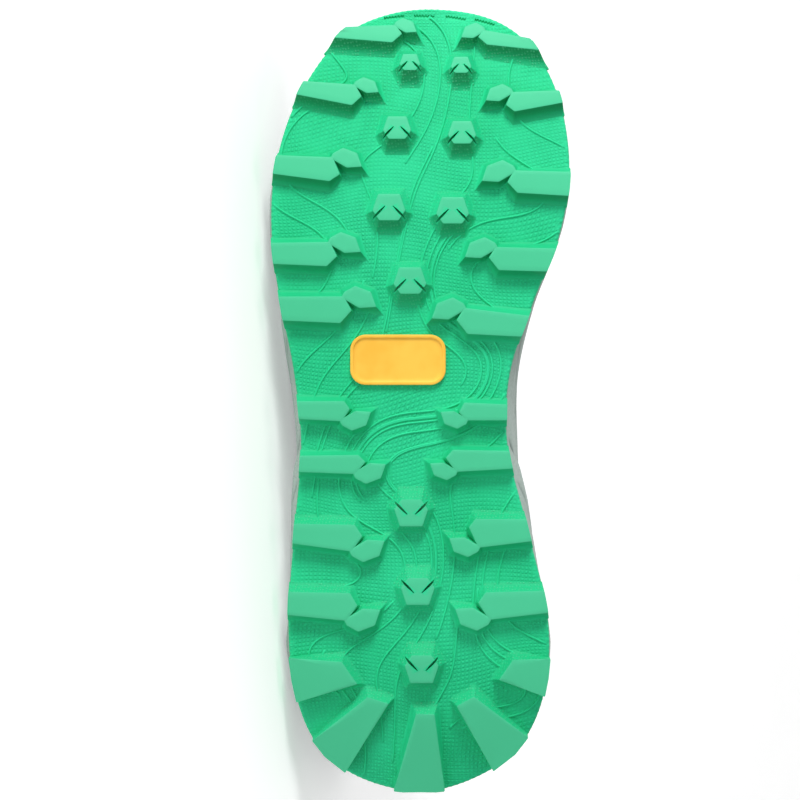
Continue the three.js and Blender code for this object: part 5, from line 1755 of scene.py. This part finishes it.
def tongue():
    """Padded band: a face and an underside that meet in a rounded border all round. Its front end
    runs on for a few millimetres under the upper."""
    free = np.sin(np.linspace(math.pi / 2, 0, FREE_SECTIONS))[:-1]
    under_throat = tongue_section(np.linspace(THROAT_ROW, TONGUE_FRONT_ROW - 0.1, 100),
                                  -TONGUE / 2)
    vamp = upper_at(float(TOE_ROW), np.array([0.90, 0.99]), -UPPER_WALL)
    forwards = unit(vamp[0] - vamp[1]) - np.array([0, 0, HIDDEN_DROP])
    steps = np.linspace(0, HIDDEN_LENGTH, HIDDEN_SECTIONS + 1)[1:, None, None]
    middle = np.concatenate([np.stack([free_section(share, -TONGUE / 2) for share in free]),
                             under_throat, under_throat[-1] + forwards * steps])
    along_mm = walked_along(middle[:, SECTION_POINTS // 2])
    side = np.linspace(-1, 1, SECTION_POINTS)
    edge = np.sqrt(np.clip(1 - np.abs(side)**6, 0, 1))
    end = quarter(np.minimum(along_mm, along_mm[-1] - along_mm), TONGUE)
    pad = TONGUE_PADDING * smooth(0.0, 0.35, 1 - along_mm / TONGUE_FREE_LENGTH)
    half = (TONGUE / 2 + pad[:, None]) * edge * end[:, None]
    channel = bell(np.mod(along_mm, CHANNEL_PITCH), CHANNEL_PITCH / 2, 0.6)
    channels = CHANNEL_DEPTH * (channel * (along_mm < CHANNELS_TO))[:, None]
    channels = channels * (np.abs(side) < 0.75)
    out = unit(np.cross(np.gradient(middle, axis=1), np.gradient(middle, axis=0)))
    out = out * np.sign(out[:, SECTION_POINTS // 2, 2])[:, None, None]
    face = middle + out * (half - np.minimum(channels, half * 0.6))[..., None]
    border = np.maximum(smooth(0.80, 0.84, np.abs(side)),
                        1 - smooth(3.0, 3.6, along_mm)[:, None])
    return [patch(face, stacked(along_mm[:, None], side * 30), border=border),
            patch(middle - out * half[..., None], border=1.0)]


tongue_knit = knit("tongue_knit", rgb(140, 151, 149), rgb(112, 123, 121), rgb(60, 70, 69),
                   pitch=2.2, border=rgb(84, 95, 93))
tongue_piece = piece("padded_tongue", tongue(), tongue_knit, "tongue")

# %% [markdown]
# ## Lace
# A flat braided lace crosses the throat between the eyelets. Each run comes up through its
# eyelet, bends over the stay, crosses the tongue, and tucks under the opposite edge of the throat
# to reach the next eyelet from below. The lowest run is a straight bar, and the topmost runs go
# down into the top eyelets, where they end inside the shoe.

# %% Paths of the lace
LACE_WIDTH = 5
LACE_THICKNESS = 1.5
LACE_CLEARANCE = 0.3


def catmull(points, steps):
    """Smooth path through points, with the slope at each from its two neighbours."""
    before, after = 2 * points[:1] - points[1:2], 2 * points[-1:] - points[-2:-1]
    padded = np.concatenate([before, points, after])
    t = np.linspace(0, 1, steps, endpoint=False)[:, None]
    parts = [hermite(padded[i], padded[i + 1], (padded[i + 1] - padded[i - 1]) / 2,
                     (padded[i + 2] - padded[i]) / 2, t) for i in range(1, len(points))]
    return np.concatenate([*parts, points[-1:]])


def side_points(u, spots):
    """Places beside the throat at row u and their normals. Each spot is its distance in from the
    throat's edge and its height over the upper's face."""
    inset, lift = np.array(spots).T
    k = k_at_length(u, inset, from_top=True)
    return upper_at(u, k, lift), upper_normal(u, k)


def crossing(u, v, lift):
    """Three places over the tongue's crown and their normals, on the way from row u to row v
    across it."""
    places, normals = [], []
    for share in (0.32, 0.5, 0.68):
        medial, lateral = (u, other_side(v)) if u < TOE_ROW else (v, other_side(u))
        towards = share if u < TOE_ROW else 1 - share
        over = LACE_THICKNESS / 2 + LACE_CLEARANCE + lift * math.sin(math.pi * share)
        section = tongue_section(blend(medial, lateral, towards), over)
        place = towards * (len(section) - 1 - 2 * FLANK_POINTS) + FLANK_POINTS
        i = int(place)
        places.append(blend(section[i], section[i + 1], place - i))
        normals.append(unit(np.cross(section[i + 1] - section[i], [1.0, 0.0, 0.0])))
    normals = np.stack(normals)
    return np.stack(places), normals * np.sign(normals[:, 2:])


# Spots of an end that comes up through its eyelet and over the stay, and of one that tucks under
# the throat's edge.
STAY_LIFT = FILM + LACE_THICKNESS / 2 + 0.1
OVER = [(7.0, -5.0), (7.0, -1.0), (6.6, 1.6), (4.6, STAY_LIFT + 0.1), (2.0, STAY_LIFT),
        (0.3, STAY_LIFT - 0.1)]
UNDER = [(0.2, -1.9), (2.5, -2.9), (5.0, -3.4), (7.0, -3.2)]
PATH_STEPS = 8


def lace_path(u, v, over_both, lift):
    """Path and normals of one run from the eyelet at row u to the one at row v."""
    parts = (side_points(u, OVER), crossing(u, v, lift),
             side_points(v, OVER[::-1] if over_both else UNDER))
    path, outs = (catmull(np.concatenate(list(places)), PATH_STEPS) for places in zip(*parts))
    return path, unit(outs)


def lace_strip(path, outs):
    """Flat rounded section carried along the path."""
    along = unit(np.gradient(path, axis=0))
    across = unit(np.cross(along, outs))
    up = np.cross(across, along)
    c, s = np.cos(circle(20)), np.sin(circle(20))
    wide = np.sign(c) * np.abs(c)**0.6 * LACE_WIDTH / 2
    thick = np.sign(s) * np.abs(s)**0.7 * LACE_THICKNESS / 2
    rings = path[:, None] + across[:, None] * wide[:, None] + up[:, None] * thick[:, None]
    return tube(rings, stacked(walked_along(path)[:, None], np.linspace(0, 2 * LACE_WIDTH, 21)))


def braid(name, light, dark):
    """Flat braid: two families of slanting yarns that pass over each other, darker with painted
    shade where they dip.
    """
    paint = Paint(name)
    along, across = paint.surface()
    one = ((along + across * 0.9) / 1.3).wave()
    two = ((along - across * 0.9) / 1.3).wave()
    yarns = one.math("MAXIMUM", two)
    fuzz = paint.noise(0.4, 3.0)
    paint.bump(yarns * 0.16 + fuzz * 0.08)
    # Painted shade: the braid is darker where the yarns dip between each other.
    tone = paint.mix((yarns * 0.5 + 0.5).step(0.15, 0.9), dark, light)
    return paint.finish(tone, 0.85, {"Sheen Weight": 0.3})


runs = [(eyelet_rows[-1], other_side(eyelet_rows[-1]), True, 0.0)]
for i, (high, low) in enumerate(zip(eyelet_rows, eyelet_rows[1:])):
    runs += [(low, other_side(high), i == 0, 0.2), (other_side(low), high, i == 0, 2.2)]
paths = [lace_path(*run) for run in runs]
piece("lace_crossings", [lace_strip(*path) for path in paths],
      braid("lace", rgb(74, 208, 150), rgb(30, 140, 96)), "laces")
lace_length = sum(walked_along(path)[-1] for path, _ in paths)
print("lace:", len(runs), "runs,", round(float(lace_length)), "mm in all")

# %% [markdown]
# ## Stitches
# Rows of short stitches hold the overlays and the collar's lining. One stitch is a small capsule
# of a few dozen faces, and it is repeated along a line on the face of the upper.


# %% Stitches along lines on the upper
STITCH = 2.3
STITCH_GAP = 0.9
STITCH_RADIUS = 0.33
STITCH_RISE = 0.12
INSIDE_BORDER = 0.022
INSIDE_TOE_CAP = 0.028
COLLAR_SEAM_K = 0.782


def stitch_row(u, k, offset):
    """Capsules laid end to end along the line through the places (u, k), half sunk in it."""
    line, out = skin(u, k, offset), upper_normal(u, k)
    walked = walked_along(line)
    starts = np.arange(1, walked[-1] - STITCH - 1, STITCH + STITCH_GAP)
    shares = np.array([0, 0.06, 0.3, 0.7, 0.94, 1])
    radii = np.array([0.05, 0.7, 1, 1, 0.7, 0.05]) * STITCH_RADIUS
    at = starts[:, None] + shares * STITCH

    def there(values):
        return np.stack([np.interp(at, walked, values[:, i]) for i in range(3)], -1)

    centre, normal = there(line), unit(there(out))
    along = unit(centre[:, -1] - centre[:, 0])[:, None]
    across = np.cross(along, normal)
    angle = circle(6)[:, None]
    centre = centre + normal * (np.sin(shares * math.pi) * STITCH_RISE)[:, None]
    rings = centre[:, :, None] + radii[:, None, None] * (
        across[:, :, None] * np.cos(angle) + normal[:, :, None] * np.sin(angle))
    return [tube(ring) for ring in rings]


def thread():
    """Twisted polyester thread."""
    paint = Paint("thread")
    fine = paint.noise(0.3, 2.0)
    paint.bump(fine * 0.05)
    return paint.finish(paint.mix(fine, rgb(120, 214, 172), rgb(150, 226, 190)), 0.6)


stay_rows = np.linspace(EYESTAY_FROM_ROW + 0.2, other_side(EYESTAY_FROM_ROW) - 0.2, 700)
counter_rows = np.linspace(-HEEL_COUNTER_TO_ROW + 0.2, HEEL_COUNTER_TO_ROW - 0.2, 400)
toe_rows = np.linspace(TOE_CAP_FROM_ROW + 0.25, other_side(TOE_CAP_FROM_ROW) - 0.25, 400)
collar_rows = np.linspace(-PADDED_TO_ROW, PADDED_TO_ROW, 400)
seams = {  # node: rows, shares up the lines, height over the face, slot
    "eyestay": (stay_rows, stay_bottom(stay_rows) + INSIDE_BORDER, FILM, "overlay_dark"),
    "heel_counter": (counter_rows, counter_top(counter_rows) - INSIDE_BORDER, FILM,
                     "overlay_dark"),
    "toe_cap": (toe_rows, toe_cap_top(toe_rows) - INSIDE_TOE_CAP, FILM, "overlay_dark"),
    "upper": (collar_rows, COLLAR_SEAM_K, 0.05, "knit_grey"),
}
thread_material = thread()
for node, (rows, k, height, slot) in seams.items():
    piece(f"{node}_stitches", stitch_row(rows, k, height), thread_material, node)

# %% [markdown]
# ## Floor and light
# The shoe lies on a plain pale floor that curves up into a pale backdrop. A large soft light
# stands at the toe's end, so that the sides of the lugs that face the heel are in shade, as in
# the photograph; the rubber's finish darkens these sides further with painted shade. A weaker
# light fills from the heel, and one hangs above.


# %% Stage
FLOOR_GLOW = 0.30
FLOOR_FRONT = -3.0
FLOOR_BACK = 1.2
CURVE_RADIUS = 0.8
BACKDROP_HEIGHT = 4.0
HALF_WIDTH = 4.0


def stage_material():
    """Matt pale paper."""
    paint = Paint("stage")
    glow = {"Emission Color": (1, 1, 1, 1), "Emission Strength": FLOOR_GLOW}
    return paint.finish(rgb(244, 244, 244), 0.95, glow)


def sweep():
    """Floor and backdrop in one sheet: flat, a quarter circle, and upright."""
    turn = np.linspace(0, math.pi / 2, 24)
    back = np.append(FLOOR_BACK + CURVE_RADIUS * np.sin(turn), FLOOR_BACK + CURVE_RADIUS)
    up = np.append(CURVE_RADIUS * (1 - np.cos(turn)), BACKDROP_HEIGHT)
    points = stacked(np.array([[-HALF_WIDTH], [HALF_WIDTH]]), np.append(FLOOR_FRONT, back),
                     np.append(0.0, up))
    mesh = bpy.data.meshes.new("sweep")
    faces, _ = grid_faces(*points.shape[:2])
    mesh.from_pydata(points.reshape(-1, 3).tolist(), [], faces.tolist())
    mesh.shade_smooth()
    mesh.materials.append(stage_material())
    return placed("sweep", mesh)


sweep()


# %% Lights
CENTRE = (0.0, -0.03, 0.06)
WORLD_STRENGTH = 0.26
lights = [  # name, place, size, power
    ("key", (-1.96, -1.14, 0.70), 0.72, 50),
    ("fill", (0.4, -1.4, 0.8), 1.4, 3.4),
    ("sky", (0.0, 0.3, 1.7), 1.6, 7),
]


def soft_light(name, place, size, power):
    """Square area light that looks at the shoe's centre."""
    data = bpy.data.lights.new(name, "AREA")
    data.size = size
    data.energy = power
    ray = unit(np.array(CENTRE) - np.array(place))
    side = unit(np.cross(ray, [0, 0, 1]))
    placed(name, data, (side, np.cross(side, ray), -ray), place)


for light in lights:
    soft_light(*light)
world = bpy.data.worlds.new("world")
bpy.context.scene.world = world
world.use_nodes = True
background = world.node_tree.nodes["Background"].inputs
background["Color"].default_value = (1, 1, 1, 1)
background["Strength"].default_value = WORLD_STRENGTH
bpy.context.scene.view_settings.view_transform = "Standard"
